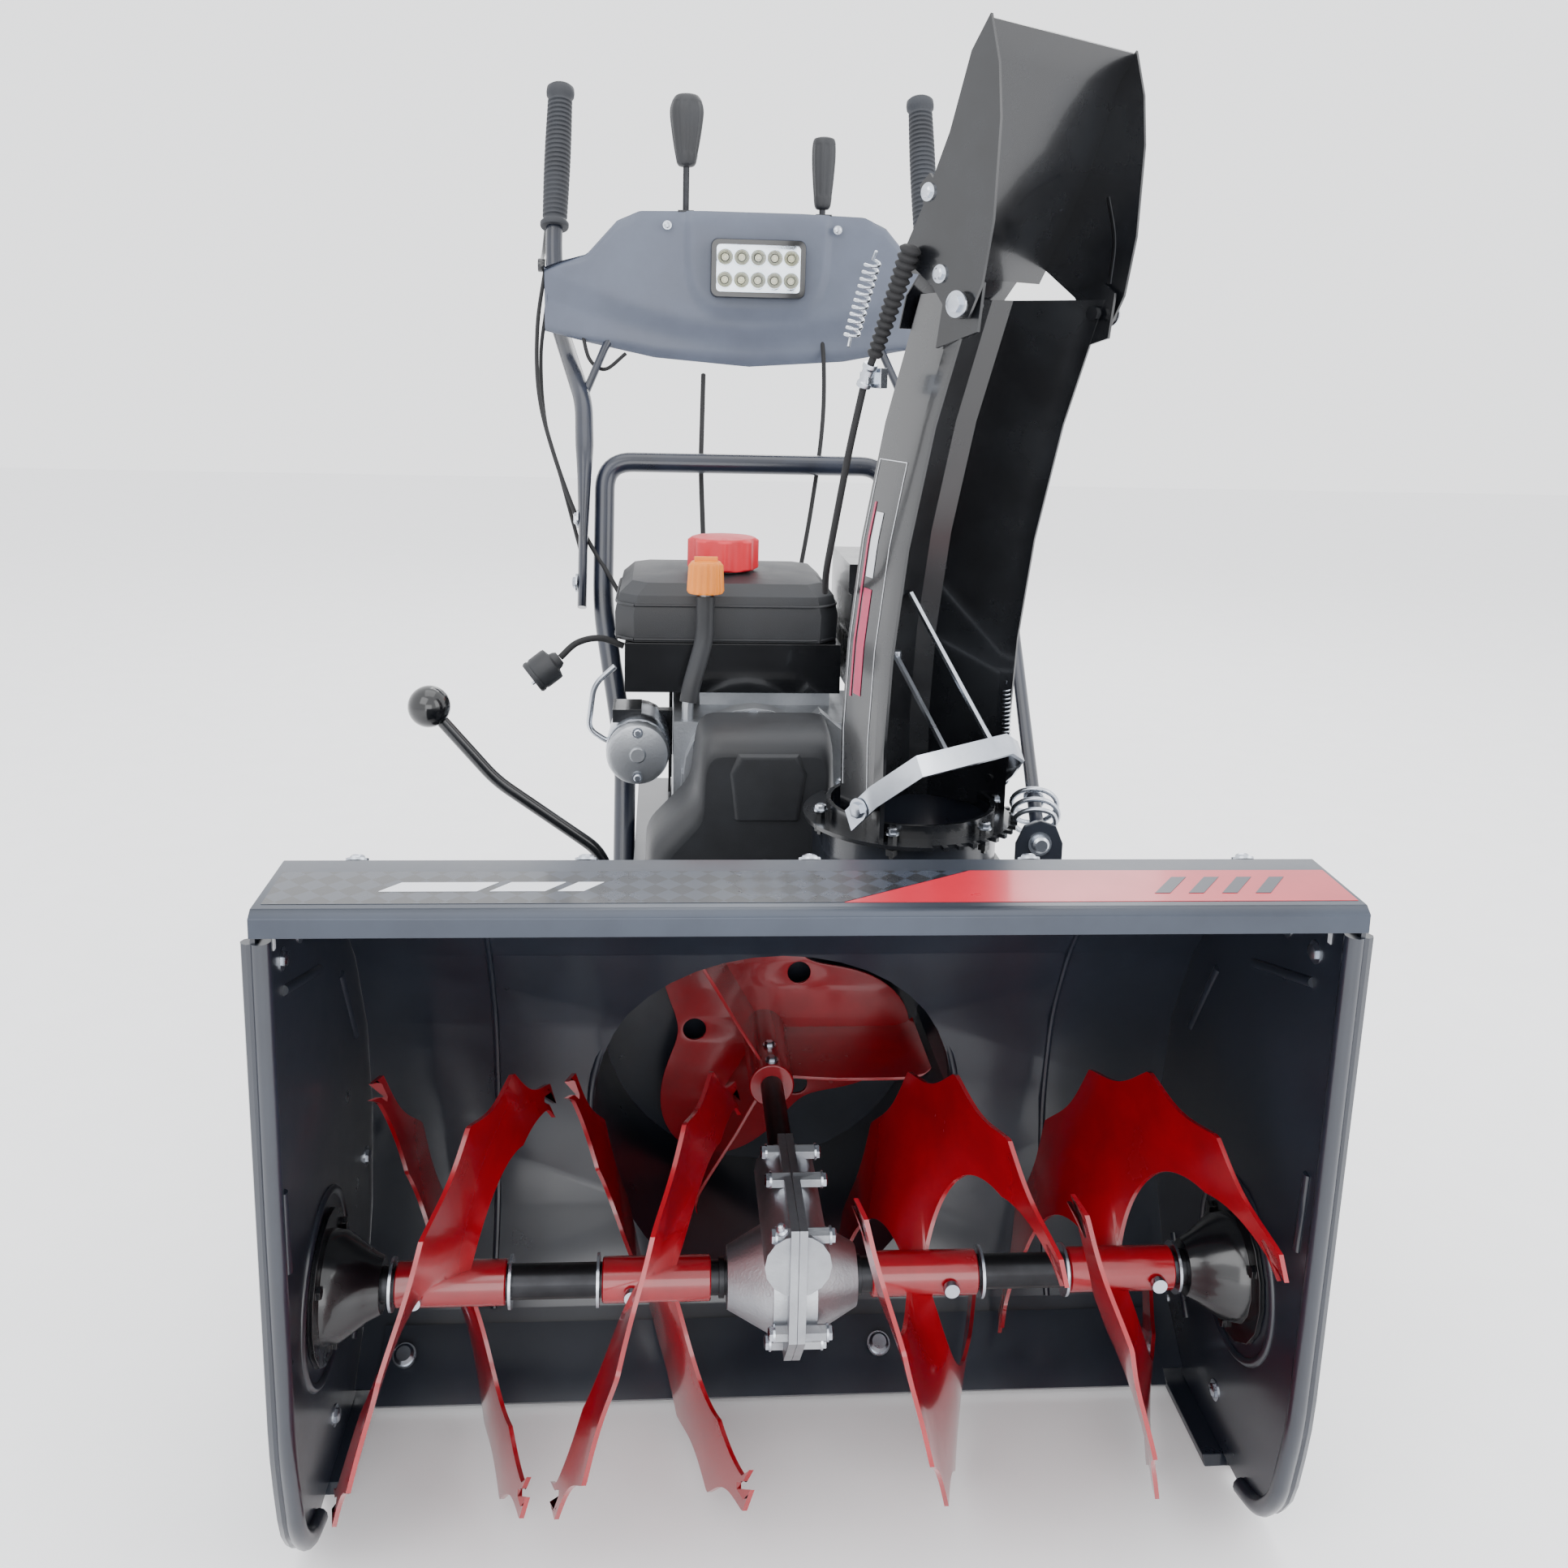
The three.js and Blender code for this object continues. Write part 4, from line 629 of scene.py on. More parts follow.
for flight_name, middle_x, s, start_deg in (("left_outer", -250, -1, -50), ("left_inner", -100, -1, -50),
                                            ("right_inner", 100, 1, 42), ("right_outer", 250, 1, 42)):
    flight("flight_" + flight_name, middle_x, s, start_deg)
refine("auger_shaft", STEEL, 0.5)


def auger_pins():
    for x in (-275, -118, 118, 275):
        name = {-275: "outer_left", -118: "inner_left", 118: "inner_right", 275: "outer_right"}[x]
        pin = Shape().lathe([[0, -23], [5.5, -23], [6, -22], [6, -18.5], [3.2, -18], [3.2, 21], [2.4, 22], [0, 22]],
                            (x, AUGER_Y, AUGER_Z), Y, 24)
        clip = [(x + 7 * math.cos(t), AUGER_Y + 18, AUGER_Z + 7 * math.sin(t) - 4)
                for t in (2 * math.pi * i / 28 for i in range(28))]
        pin.sweep(clip, 0.9, 8, closed=True)
        made = pin.make("shear_pin_" + name + "_detail", ZINC, "auger", "zinc")
        if abs(x) < 200:
            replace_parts(made, "shear_pin_" + ("left" if x < 0 else "right"))
    washers = Shape()
    for x in (-293, -207, -143, 143, 207, 293):
        washers.lathe([[12.9, -1], [19, -1], [19, 1], [12.9, 1]], (x, AUGER_Y, AUGER_Z), X, 36)
    washers.make("auger_washers", ZINC, "auger", "zinc")


auger_pins()
for side_name, s in SIDES:
    refine("gearbox_" + side_name, CAST, 2.0, 38.0, 3)


def gearbox_bolts():
    spots = [(92, 226), (150, 233), (196, 228), (90, 150), (120, 120), (166, 124)]
    for side_name, s in SIDES:
        reach = 22 if s > 0 else 15
        bolts("gearbox_bolts_" + side_name, [((s * reach, y, z), (s, 0, 0)) for y, z in spots], "machine",
              ZINC, 5.5, 4, 6.4)
    nipple = Shape().lathe([[0, 0], [4, 0], [4, 3], [2.4, 4], [2.4, 6], [3.2, 7.5], [2, 10], [0, 10.4]],
                           (-12, 82, 236), (-0.3, -0.6, 1), 20)
    nipple.make("grease_nipple", ZINC, "machine", "zinc")


gearbox_bolts()


# ---------- impeller ----------
def impeller():
    """A lobed disc with three paddles whose outer edges are bent forward."""
    star = []
    for i in range(108):
        a = 2 * math.pi * i / 108
        r = 112 + 30 * math.cos(a * 3)
        star.append((r * math.cos(a), r * math.sin(a)))
    holes = [(66 * math.cos(math.radians(d)), 66 * math.sin(math.radians(d)), 11) for d in (60, 180, 300)]
    disc = sheet_with_holes("impeller_disc", star, holes, 3, plane((0, 446.5, IMPELLER_Z), X, Z), RED,
                            "impeller_set")
    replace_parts(disc, "impeller")
    shape = Shape()
    shape.lathe([[10.6, 336], [19, 336], [20, 337], [20, 451], [19, 452], [10.6, 452]], (0, 0, IMPELLER_Z), Y, 40)
    for deg in (0, 120, 240):
        a = math.radians(deg)

        def out(r, across, y):
            return (r * math.cos(a) - across * math.sin(a), y, IMPELLER_Z + r * math.sin(a) + across * math.cos(a))
        section = [(17, 0), (60, 0), (110, 0), (128, 0.8), (137, 4), (143, 9)]
        skin = section + [(r + (1.6 if r > 130 else 0), c + 3) for r, c in reversed(section)]
        rings = []
        for y, trim in ((352, 0), (346, 1), (380, 0), (420, 0), (446, 0)):
            rings.append([out(r, c - 1.5, y if y > 350 or r > 50 else 352) for r, c in skin])
        shape.loft([rings[1]] + rings[2:])
    shape.make("impeller_paddles", RED, "impeller_set", "red_paint", 0.5)
    bolts("impeller_bolts", [((0, 344, IMPELLER_Z + 20), (0, 0, 1)), ((0, 372, IMPELLER_Z + 20), (0, 0, 1))],
          "impeller_set", ZINC, 4.5, 3.5, 6)


impeller()
refine("impeller_shaft", STEEL, 0.4)
refine("engine_pulley", STEEL, 0.5)
refine("auger_belt", RUBBER, 0.8)


def belt_cover():
    """A moulded cover, drawn in towards its front, with a raised field on its face."""
    side = [(-56, 491), (60, 491), (67, 478), (70, 424), (112, 366), (118, 207), (72, 97), (-72, 97), (-118, 207),
            (-115, 377), (-71, 424), (-66, 478)]
    corners = [Vector((x, 0, z)) for x, z in side]
    soft = []
    for i, p in enumerate(corners):
        before, after = corners[i - 1], corners[(i + 1) % len(corners)]
        a, b = p.lerp(before, min(14 / (before - p).length, 0.4)), p.lerp(after, min(14 / (after - p).length, 0.4))
        soft += [a.lerp(p, k / 4).lerp(p.lerp(b, k / 4), k / 4) for k in range(5)]

    def ring(y, inset):
        middle = Vector((0, 0, 294))
        return [Vector((p.x - inset * (p - middle).normalized().x, y, p.z - inset * (p - middle).normalized().z))
                for p in soft]
    outer = [ring(560, 0), ring(530, 1.5), ring(506, 4), ring(494, 8), ring(486.5, 14), ring(483.4, 21),
             ring(482.8, 26)]
    inner = [ring(487, 24), ring(497, 12), ring(530, 5), ring(560, 3.5)]
    shape = Shape().loft(outer + inner, closed=True)
    shape.loft([ring(482.8, 25.5), ring(486.8, 25.5)])
    made = shape.make("belt_cover_shell", PLASTIC, "machine", "black_plastic", 0, 50)
    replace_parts(made, "belt_cover")

    def field_ring(y, k):
        """The field's outline, drawn in by k."""
        outline = ((-30 + k, 404), (34 - k, 404), (40 - k, 450), (32 - k, 470 - k), (-28 + k, 470 - k),
                   (-36 + k, 450))
        return [Vector((x, y, z)) for x, z in outline]
    field = Shape().loft([field_ring(484, 0), field_ring(480.5, 3), field_ring(479.8, 6)])
    field.make("belt_cover_field", PLASTIC, "machine", "black_plastic", 1.5, 25, 3)


belt_cover()

# ---------- engine ----------
refine("engine_block", CAST, 1.8, 38.0, 3)
refine("engine_shroud", GLOSS, 3.0, 38.0, 3)
refine("fuel_tank", PLASTIC, 5.0, 24.0, 4)
refine("starter_motor", BLACK, 1.5)
refine("muffler_guard", BLACK, 1.5)
refine("recoil_handle", PLASTIC, 2.0)


def engine_details():
    covers = [((-8 + 62 * math.cos(math.radians(d)), 562, 424 + 62 * math.sin(math.radians(d))), (0, -1, 0))
              for d in (30, 90, 150, 210, 270, 330)]
    bolts("crankcase_bolts", covers, "machine", ZINC, 5, 4, 7)
    # Ribs cross the crankcase cover from its middle boss.
    ribs = Shape()
    for deg in (60, 120, 180, 240, 300, 0):
        a = math.radians(deg)
        ribs.sweep([(-8 + r * math.cos(a), 563, 424 + r * math.sin(a)) for r in (18, 36, 56)], 2.4, 8)
    ribs.lathe([[12.5, 0], [20, 0], [18, 5], [12.5, 5]], (0, 563.5, 420), (0, -1, 0), 40)
    ribs.make("crankcase_ribs", CAST, "machine", "cast_alu")
    # The recess and bead round the tank's shoulder, and the seam above the lower pan.
    tank = Shape()
    for z, k in ((549, 1.004), (585, 1.0)):
        edge = [(-130, 640), (65, 640), (85, 660), (85, 830), (65, 850), (-130, 850), (-150, 830), (-150, 660)]
        line = [(-32 + (x + 32) * k, 745 + (y - 745) * k, z) for x, y in edge]
        tank.sweep(bend(line + [line[0]], 14), 1.5, 8)
    tank.make("tank_beads", PLASTIC, "machine", "black_plastic")
    # A moulded channel hides the oil filler where it climbs past the tank.
    sleeve = Shape().sweep(bend([(-73, 598, 492), (-71, 600, 506), (-57, 613, 556), (-57, 614, 600)], 14), 9.5, 20)
    sleeve.make("filler_channel", PLASTIC, "machine", "black_plastic")
    vents = Shape()
    for i in range(9):
        x = -70 + i * 17.5
        vents.sweep([(x, 866.4, 430), (x, 867, 470), (x, 866.4, 515)], 2.2, 8)
    vents.make("fan_cover_ribs", GLOSS, "machine", "gloss_plastic")
    forward = (0, -1, 0)
    rim = [[30, -12], [32.6, -12], [32.6, -5], [31, -1.5], [27, 0], [0, 0]]
    cap = Shape().lathe(rim, (-125, 598.6, 435), forward, 48)
    cap.lathe([[0, 2.2], [7, 2.2], [8.4, 0.8], [9, -1], [0, -1]], (-125, 598.4, 435), forward, 32)
    cap.make("starter_end_cap", CAST, "machine", "cast_alu")
    wall = [[32.6, 22], [33.6, 24], [33.6, 60], [32.6, 62], [32.6, 96], [31, 98], [31, 22]]
    can = Shape().lathe(wall, (-125, 598, 435), Y, 48)
    can.make("starter_can", ZINC, "machine", "zinc")
    screws = [((-125, 598, 459), forward), ((-125, 598, 411), forward)]
    bolts("starter_screws", screws, "machine", ZINC, 4, 2.6, 5.5, 12)
    louvres = Shape()
    for i in range(7):
        z = 520 + i * 14
        louvres.sweep([(101, 649, z), (120, 648.6, z), (172, 649, z)], 2.0, 8)
    louvres.make("muffler_louvres", BLACK, "machine", "black_paint")


engine_details()


def caps():
    cap = Shape()
    cap.lathe([[28.8, 614], [35, 614], [37, 616], [37, 646], [34.5, 649], [12, 650], [0, 650]], (-35, 720, 0), Z, 96,
              lambda a, h: 2.2 * math.cos(a * 8) if 615 < h < 648 else 0)
    made = cap.make("fuel_cap_detail", CAP_RED, "fuel_cap_body", "cap_red", 0.8)
    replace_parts(made, "fuel_cap")
    knob = Shape()
    knob.lathe([[14.4, 603.5], [18, 603.5], [18.5, 606], [17.2, 632], [15, 636], [6, 637], [0, 637]], (-57, 614, 0),
               Z, 96, lambda a, h: 0.7 * math.cos(a * 16) if 605 < h < 634 else 0)
    knob.block((-69, 612, 636), (-45, 616, 641))
    made = knob.make("oil_cap_detail", CAP_ORANGE, "oil_cap_body", "cap_orange", 0.6)
    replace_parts(made, "oil_cap")


caps()

# ---------- chassis and tracks ----------
refine("chassis", HOUSING, 1.0)
refine("track_frame", HOUSING, 1.2)
refine("drive_axle", STEEL, 0.8)
refine("idler_axle", BLACK, 1.2)
for side_name, s in SIDES:
    refine("track_" + side_name, RUBBER, 2.2, 30.0, 3)


def height_lever():
    path = bend([(-135, 520, 300), (-146, 520, 320), (-160, 516, 361), (-259, 508, 435), (-312, 501, 500)], 16)
    rod = Shape().sweep(path, 6, 20)
    rod.lathe([[0, 0], [14, 0], [15, 1], [15, 12.6], [14, 13.6], [0, 13.6]], (-142, 520, 300), X, 32)
    made = rod.make("height_lever_rod", BLACK, "height_body", "black_paint")
    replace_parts(made, "height_lever")
    ball = [[20 * math.cos(math.radians(t)), 20 * math.sin(math.radians(t))] for t in range(-90, 91, 9)]
    ball = [[max(r, 0), h] for r, h in ball]
    Shape().lathe(ball, (-320, 500, 510), (-0.62, -0.08, 0.78), 40).make(
        "height_lever_ball", GLOSS, "height_body", "gloss_plastic")


height_lever()


# ---------- handles ----------
def handles():
    half = [Vector(p) for p in ((-141, 690, 262), (-142, 760, 390), (-172, 850, 545), (-172, 905, 716))]
    line = half + [Vector((-p.x, p.y, p.z)) for p in reversed(half)]
    made = Shape().sweep(bend(line, 34, 10), 12, 24).make("lower_handle_tube", TUBE, "machine", "tube_paint")
    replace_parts(made, "lower_handle")
    for side_name, s in SIDES:
        run = [(s * 196, 838, 548), (s * 196, 893, 722), (s * 200, 945, 785), (s * 244, 1093, 890),
               (s * 250, 1122, 985), (s * 246, 1198, 1192)]

        def flat(k):
            # The lowest stretch is pressed flat where it is bolted to the lower handle.
            t = min(max((k - 0.10) / 0.16, 0), 1)
            return 0.5 + 0.5 * t, 1.32 - 0.32 * t
        fine = []
        for a, b in zip(bend(run, 24), bend(run, 24)[1:]):
            count = max(1, int((b - a).length / 12))
            fine += [a.lerp(b, i / count) for i in range(count)]
        fine.append(Vector(run[-1]))
        made = Shape().sweep(fine, 11, 24, flat).make("upper_tube_" + side_name, TUBE, "machine", "tube_paint")
        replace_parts(made, "upper_handle_" + side_name)
        spots = [((s * 202, 848, 576), (s, 0, 0)), ((s * 202, 872, 650), (s, 0, 0))]
        bolts("handle_bolts_" + side_name, spots, "machine", ZINC, 7, 5, 11, thick=2)
        grip(side_name, s)
        lever = bend([(s * 266, 1128, 960), (s * 266, 1172, 976), (s * 262, 1206, 1040), (s * 250, 1240, 1140),
                      (s * 249, 1244, 1154)], 20)
        shape = Shape().sweep(lever, 4.5, 16)
        shape.lathe([[0, 0], [8.5, 0], [9, 1], [9, 8.6], [8.5, 9.6], [0, 9.6]], (s * 261.4, 1128, 960), (s, 0, 0), 32)
        made = shape.make("clutch_bail_" + side_name, BLACK, s < 0 and "left_clutch" or "right_clutch",
                          "black_paint")
        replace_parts(made, "clutch_lever_" + side_name)


def grip(side_name, s):
    """A soft sleeve with rows of ribs, a flange at its foot and a closed end."""
    foot, tip = Vector((s * 250, 1122, 985)), Vector((s * 246, 1198, 1192))
    way = (tip - foot).normalized()
    start, length = foot + way * 26, (tip - foot).length - 26 + 10
    profile = [[11.8, 0], [18, 0], [19, 2], [19, 6], [17.5, 8], [15.5, 10]]
    count = 26
    for i in range(count):
        h = 14 + (length - 34) * i / count
        step = (length - 34) / count
        swell = 1.2 * math.sin(math.pi * i / count)
        profile += [[14.6 + swell, h], [16.4 + swell, h + step * 0.2], [16.4 + swell, h + step * 0.6],
                    [14.6 + swell, h + step * 0.8]]
    profile += [[15.4, length - 18], [18.6, length - 15], [19, length - 10], [18.4, length - 4], [15, length - 1],
                [8, length], [0, length]]
    made = Shape().lathe(profile, start, way, 40, lambda a, h: 0).make("grip_" + side_name + "_sleeve", GRIP,
                                                                       "machine", "grip_rubber", 0, 50)
    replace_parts(made, "grip_" + side_name)


handles()

# ---------- panel and controls ----------
PANEL_X = 6


def panel():
    """A moulded dash: a raised middle, lower wings, a bowed lower edge and a scoop round the lamp."""
    tops = [(-259, 949), (-238, 957), (-206, 966), (-188, 986), (-168, 1008), (-140, 1020), (-60, 1022), (60, 1022),
            (140, 1020), (168, 1008), (188, 986), (206, 966), (238, 957), (259, 949)]
    bottoms = [(-259, 872), (-200, 858), (-120, 842), (0, 833), (120, 842), (200, 858), (259, 872)]

    def level(line, x):
        for (x0, z0), (x1, z1) in zip(line, line[1:]):
            if x <= x1:
                return z0 + (z1 - z0) * (x - x0) / (x1 - x0)
        return line[-1][1]

    def front(x, z):
        # The wings fall back, the lower third tucks under, and a scoop runs round the lamp.
        far = max(abs(x) - 150, 0) / 109
        y = 985.5 + 14 * far * far
        crease = 884 + 60 * (abs(x) / 259) ** 1.6
        y += 9 * min(max((crease - z) / 30, 0), 1)
        dx, dz = (x - 7) / 88, (z - 1010) / 112
        scoop = dx ** 4 + dz ** 4 if z < 1010 else dx ** 4
        return y + 5 * min(max((scoop - 0.86) / 0.3, 0), 1) * (1 if z < 1016 else 0.5)
    columns = 132
    rings = []
    for i in range(columns + 1):
        x = -259 + 518 * i / columns
        low_z, high_z = level(bottoms, x), level(tops, x)
        skin = []
        rows = 22
        for j in range(rows + 1):
            z = low_z + (high_z - low_z) * j / rows
            ends = min(j, rows - j)
            lip = 6 * max(0, 1 - ends / 1.5) ** 2
            skin.append((x + PANEL_X, front(x, z) + lip, z))
        y_back = 1029
        outer = skin + [(x + PANEL_X, 1000, high_z + 0.5), (x + PANEL_X, y_back, high_z + 1)]
        inner = [(x + PANEL_X, y_back, high_z - 2), (x + PANEL_X, 1003, high_z - 2.6)]
        inner += [(px, py + 3, min(max(pz, low_z + 2.6), high_z - 2.6)) for px, py, pz in reversed(skin)]
        inner += [(x + PANEL_X, y_back - 12, low_z + 2.6), (x + PANEL_X, y_back - 12, low_z)]
        rings.append(outer + inner)
    shape = Shape().loft(rings)
    for side in (-1, 1):
        x0 = PANEL_X + side * 259
        outline = [(front(259, 872) + 3, 872), (front(259, 949) + 3, 949), (1029, 949), (1017, 872)]
        shape.slab(outline, lambda y, z, k, x0=x0, side=side: (x0 - side * (0 if k else 3), y, z))
    made = shape.make("dash_panel", SLATE, "machine", "slate_plastic", 0, 50)
    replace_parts(made, "panel")


panel()


def rounded(x0, x1, z0, z1, r, steps=6):
    """A rectangle's outline with round corners, counter-clockwise."""
    line = []
    for cx, cz, start in ((x1 - r, z0 + r, -90), (x1 - r, z1 - r, 0), (x0 + r, z1 - r, 90), (x0 + r, z0 + r, 180)):
        for i in range(steps + 1):
            a = math.radians(start + 90 * i / steps)
            line.append((cx + r * math.cos(a), cz + r * math.sin(a)))
    return line


def headlight():
    def layer(front, back):
        return lambda x, z, side: (x, back if side else front, z)
    bezel = Shape()
    outer, inner = rounded(-46, 72, 917, 988, 9), rounded(-39, 65, 924, 981, 5)
    rings = [[(x, 984.4, z) for x, z in outer], [(x, 970, z) for x, z in outer],
             [(x * 0.985 + 0.2, 967.4, (z - 952.5) * 0.97 + 952.5) for x, z in outer],
             [(x, 967.6, z) for x, z in inner], [(x, 975, z) for x, z in inner], [(x, 984.4, z) for x, z in inner]]
    bezel.loft(rings, closed=True)
    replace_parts(bezel.make("headlight_bezel", GLOSS, "machine", "gloss_plastic"), "headlight")
    # The plated reflector has a shallow dish round each diode, five across and two high.
    dish = Shape()
    dish.slab(inner, layer(980, 984))
    spots = []
    for i in range(5):
        for j in range(2):
            x, z = 13 + (i - 2) * 20.5, 952.5 + (j - 0.5) * 27
            dish.lathe([[4.6, 0], [9.6, 8], [10.3, 8], [10.3, 0]], (x, 980, z), (0, -1, 0), 32)
            spots.append(((x, 979.4, z), (0, -1, 0)))
    dish.make("headlight_reflector", MIRROR, "machine", "lens")
    bolts("headlight_diodes", spots, "machine", DIODE, 3.2, 1.2, 4.4, 16, 1.2, 0.6)
    glass = Shape()
    glass.loft([[(x, 966.2, z) for x, z in rounded(-35, 61, 928, 977, 5)], [(x, 967.8, z) for x, z in inner],
                [(x, 969.8, z) for x, z in inner]])
    glass.make("headlight_lens", LENS, "machine", "lens")


headlight()


def panel_details():
    screws = [((x, 984.8, z), (0, -1, 0)) for x, z in ((-100, 1003), (112, 1003))]
    bolts("panel_screws", screws, "machine", ZINC, 4, 1.8, 5.5, 16, 0.6, 0.8)
    gates = Shape()
    for x in (-77, 95):
        ring = [(x - 10, 993), (x + 10, 993), (x + 10, 1029), (x - 10, 1029)]
        hole = [(x - 6.6, 996), (x + 6.6, 996), (x + 6.6, 1029), (x - 6.6, 1029)]
        gates.loft([[(a, b, 1020.2) for a, b in ring], [(a, b, 1022.5) for a, b in ring],
                    [(a, b, 1022.5) for a, b in hole], [(a, b, 1020.2) for a, b in hole]], closed=True)
    gates.make("lever_gates", PLASTIC, "machine", "black_plastic")


panel_details()


def control_levers():
    for node, x, top, ribs, profile in (
            ("shift_lever", -77, 1076, 11, [[0, 0], [10, 2], [14, 14], [20, 50], [21, 70], [15, 84], [6, 87.4],
                                            [0, 88]]),
            ("deflector_lever", 95, 1030, 9, [[0, 0], [9, 2], [12, 20], [15, 60], [14, 82], [9, 87], [0, 88]])):
        body = {"shift_lever": "shift_body", "deflector_lever": "tilt_body"}[node]
        stem = Shape().sweep([(x, 1014, 966), (x, 1014, top - 20), (x, 1014, top + 6)], 4, 20)
        stem.lathe([[4.4, -5], [9.4, -5], [10, -4], [10, 4], [9.4, 5], [4.4, 5]], (x, 1014, 960), X, 32)
        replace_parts(stem.make(node + "_stem", STEEL, body, "steel"), node)
        curve = [Vector((r, h, 0)) for r, h in profile]
        line = [(max(p.x, 0), p.y) for p in smooth_path(curve, 10)]

        def wave(a, h, n=ribs):
            return -0.9 * (0.5 + 0.5 * math.cos(a * n)) if 16 < h < 78 else 0
        knob = Shape().lathe(line, (x, 1014, top), Z, 88, wave)
        knob.make(node + "_knob", PLASTIC, body, "black_plastic", 0, 60)


control_levers()

# ---------- chute ----------
CHUTE_TURN = math.radians(35)
RING = Vector((124, 398, 440))
ACROSS = Vector((math.cos(CHUTE_TURN), math.sin(CHUTE_TURN), 0))
OPEN = Vector((math.sin(CHUTE_TURN), -math.cos(CHUTE_TURN), 0))
LEVELS = [439, 520, 600, 690, 790, 893]


def C(u, v, z):
    """u runs across the chute, v out of its open side, z up."""
    return Vector((RING.x, RING.y, z)) + ACROSS * u + OPEN * v


def lean(z):
    """How far the chute's section stands out at a height, straight between its levels."""
    def at(level):
        h = (level - 445) / 450
        return -28 * h + 103 * h * h
    for low_z, high_z in zip(LEVELS, LEVELS[1:]):
        if z <= high_z:
            k = (z - low_z) / (high_z - low_z)
            return at(low_z) * (1 - k) + at(high_z) * k
    return at(LEVELS[-1])


refine("chute_ring", BLACK, 0.3)
refine("chute", BLACK, 0.5, 30.0)
refine("deflector", BLACK, 0.5, 30.0)
refine("chute_guard", ZINC, 0.6)
refine("crank_bracket", HOUSING, 0.7)


def chute_details():
    # The left wall's film: white and pink bars that climb with the chute, and a thin border.
    a, b = Vector((-76.5, 30.5)), Vector((-56, -32))
    along = (b - a).normalized()
    out = Vector((-along.y, along.x))
    out = out if out.x < 0 else -out

    def on_wall(lift):
        def at(t, z, side):
            p = a + along * t + out * (lift + 0.3 * side)
            return C(p.x, p.y + lean(z), z)
        return at

    def bar(shape, t0, t1, z0, z1, lift):
        steps = max(1, int(abs(z1 - z0) / 10))
        rings = [[on_wall(lift)(t, z0 + (z1 - z0) * i / steps, side) for t, side in
                  ((t0, 0), (t1, 0), (t1, 1), (t0, 1))] for i in range(steps + 1)]
        shape.loft(rings)
    pink, white = Shape(), Shape()
    bar(pink, 32, 46, 556, 650, 0.35)
    bar(pink, 50, 53, 552, 724, 0.35)
    bar(white, 33, 46, 660, 716, 0.35)
    for t0, t1, z0, z1 in ((10, 10.6, 470, 760), (60, 60.6, 470, 760), (10.6, 60, 759.4, 760)):
        bar(white, t0, t1, z0, z1, 0.32)
    pink.make("chute_film_pink", FILM_PINK, "chute_body", "black_paint")
    white.make("chute_film_white", FILM_WHITE, "chute_body", "black_paint")
    studs = [(RING + Vector((84 * math.cos(math.radians(d)), 84 * math.sin(math.radians(d)), 6)), (0, 0, 1))
             for d in (10, 70, 130, 190, 250, 310)]
    bolts("ring_nuts", studs, "chute_body", ZINC, 5, 5, 6.2, thick=1.5)
    tips = [(C(k * 91, 115, 882), ACROSS * k) for k in (-1, 1)]
    bolts("deflector_bolts", tips, "deflector_body", ZINC, 7, 4.5, 10)
    spots = [(C(-86, 76, 966), -ACROSS), (C(-86, 92, 905), -ACROSS), (C(86, 92, 905), ACROSS)]
    bolts("deflector_screws", spots, "deflector_body", ZINC, 5, 3.5, 7)
    # The right cheek's curved slot is drawn as a dark rolled inlay.
    slot = Shape().sweep(smooth_path([C(86.4, 112, 975), C(86.4, 121, 940), C(86.4, 119, 906)], 10), 3.6, 10)
    slot.make("deflector_slot", STEEL, "deflector_body", "black_paint")
    bolts("guard_bolts", [(C(-89.5, 28, 466), -ACROSS), (C(89.5, 28, 466), ACROSS)], "guard_body", ZINC,
          7, 5, 10)
    caps_on_rods = Shape().lathe([[0, -4], [5, -4], [5.4, -3], [5.4, 4], [0, 5]], C(8, -34, 578), Z, 20)
    caps_on_rods.make("guard_rod_cap", ZINC, "guard_body", "zinc")


chute_details()


def deflector_lap():
    """The deflector's back sheet laps behind the top of the chute."""
    section = [(44.2, 910), (28.4, 892), (21.8, 866), (20.4, 866), (27.0, 892), (42.6, 911)]
    lap = Shape().loft([[C(u, v, z) for v, z in section] for u in (-58, 58)])
    lap.make("deflector_lap", BLACK, "deflector_body", "black_paint", 0.3)


deflector_lap()


def deflector_cable():
    """A bellows boot, the cable below it and its clip on the chute's side."""
    def at(f):
        return C(-96, 70 - 37 * f, 926 - 83 * f)
    way = (at(1) - at(0)).normalized()
    length = (at(1) - at(0)).length
    folds = 15
    profile = [[0, 0], [5, 0]]
    for i in range(folds):
        k = i / folds
        r = 8.6 - 2.4 * k
        profile += [[r - 2.4, length * (k + 0.005)], [r, length * (k + 0.4 / folds)], [r, length * (k + 0.6 / folds)]]
    profile += [[5, length], [0, length]]
    boot = Shape().lathe(profile, at(0), way, 32).make("deflector_boot", RUBBER, "chute_body", "rubber", 0, 60)
    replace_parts(boot, "deflector_cable")
    wire = bend([C(-96, 34, 846), C(-96, 24, 826), C(-94, 6, 770), C(-84, -30, 660), C(-64, -52, 640)], 20)
    Shape().sweep(wire, 3, 14).make("deflector_cable_sheath", RUBBER, "chute_body", "rubber")
    clip = Shape()
    clip.slab([(16, 818), (34, 818), (34, 834), (16, 834)], lambda v, z, side: C(-89 + 8 * side, v, z))
    clip.slab([(20, 821), (30, 821), (30, 831), (20, 831)], lambda v, z, side: C(-99 + 11 * side, v, z))
    clip.lathe([[3.4, -9], [6, -9], [6, -5], [5, -4], [5, 6], [6, 7], [6, 11], [3.4, 11]], C(-96, 26, 829), way, 24)
    clip.make("deflector_cable_clip", ZINC, "chute_body", "zinc", 0.6)


deflector_cable()


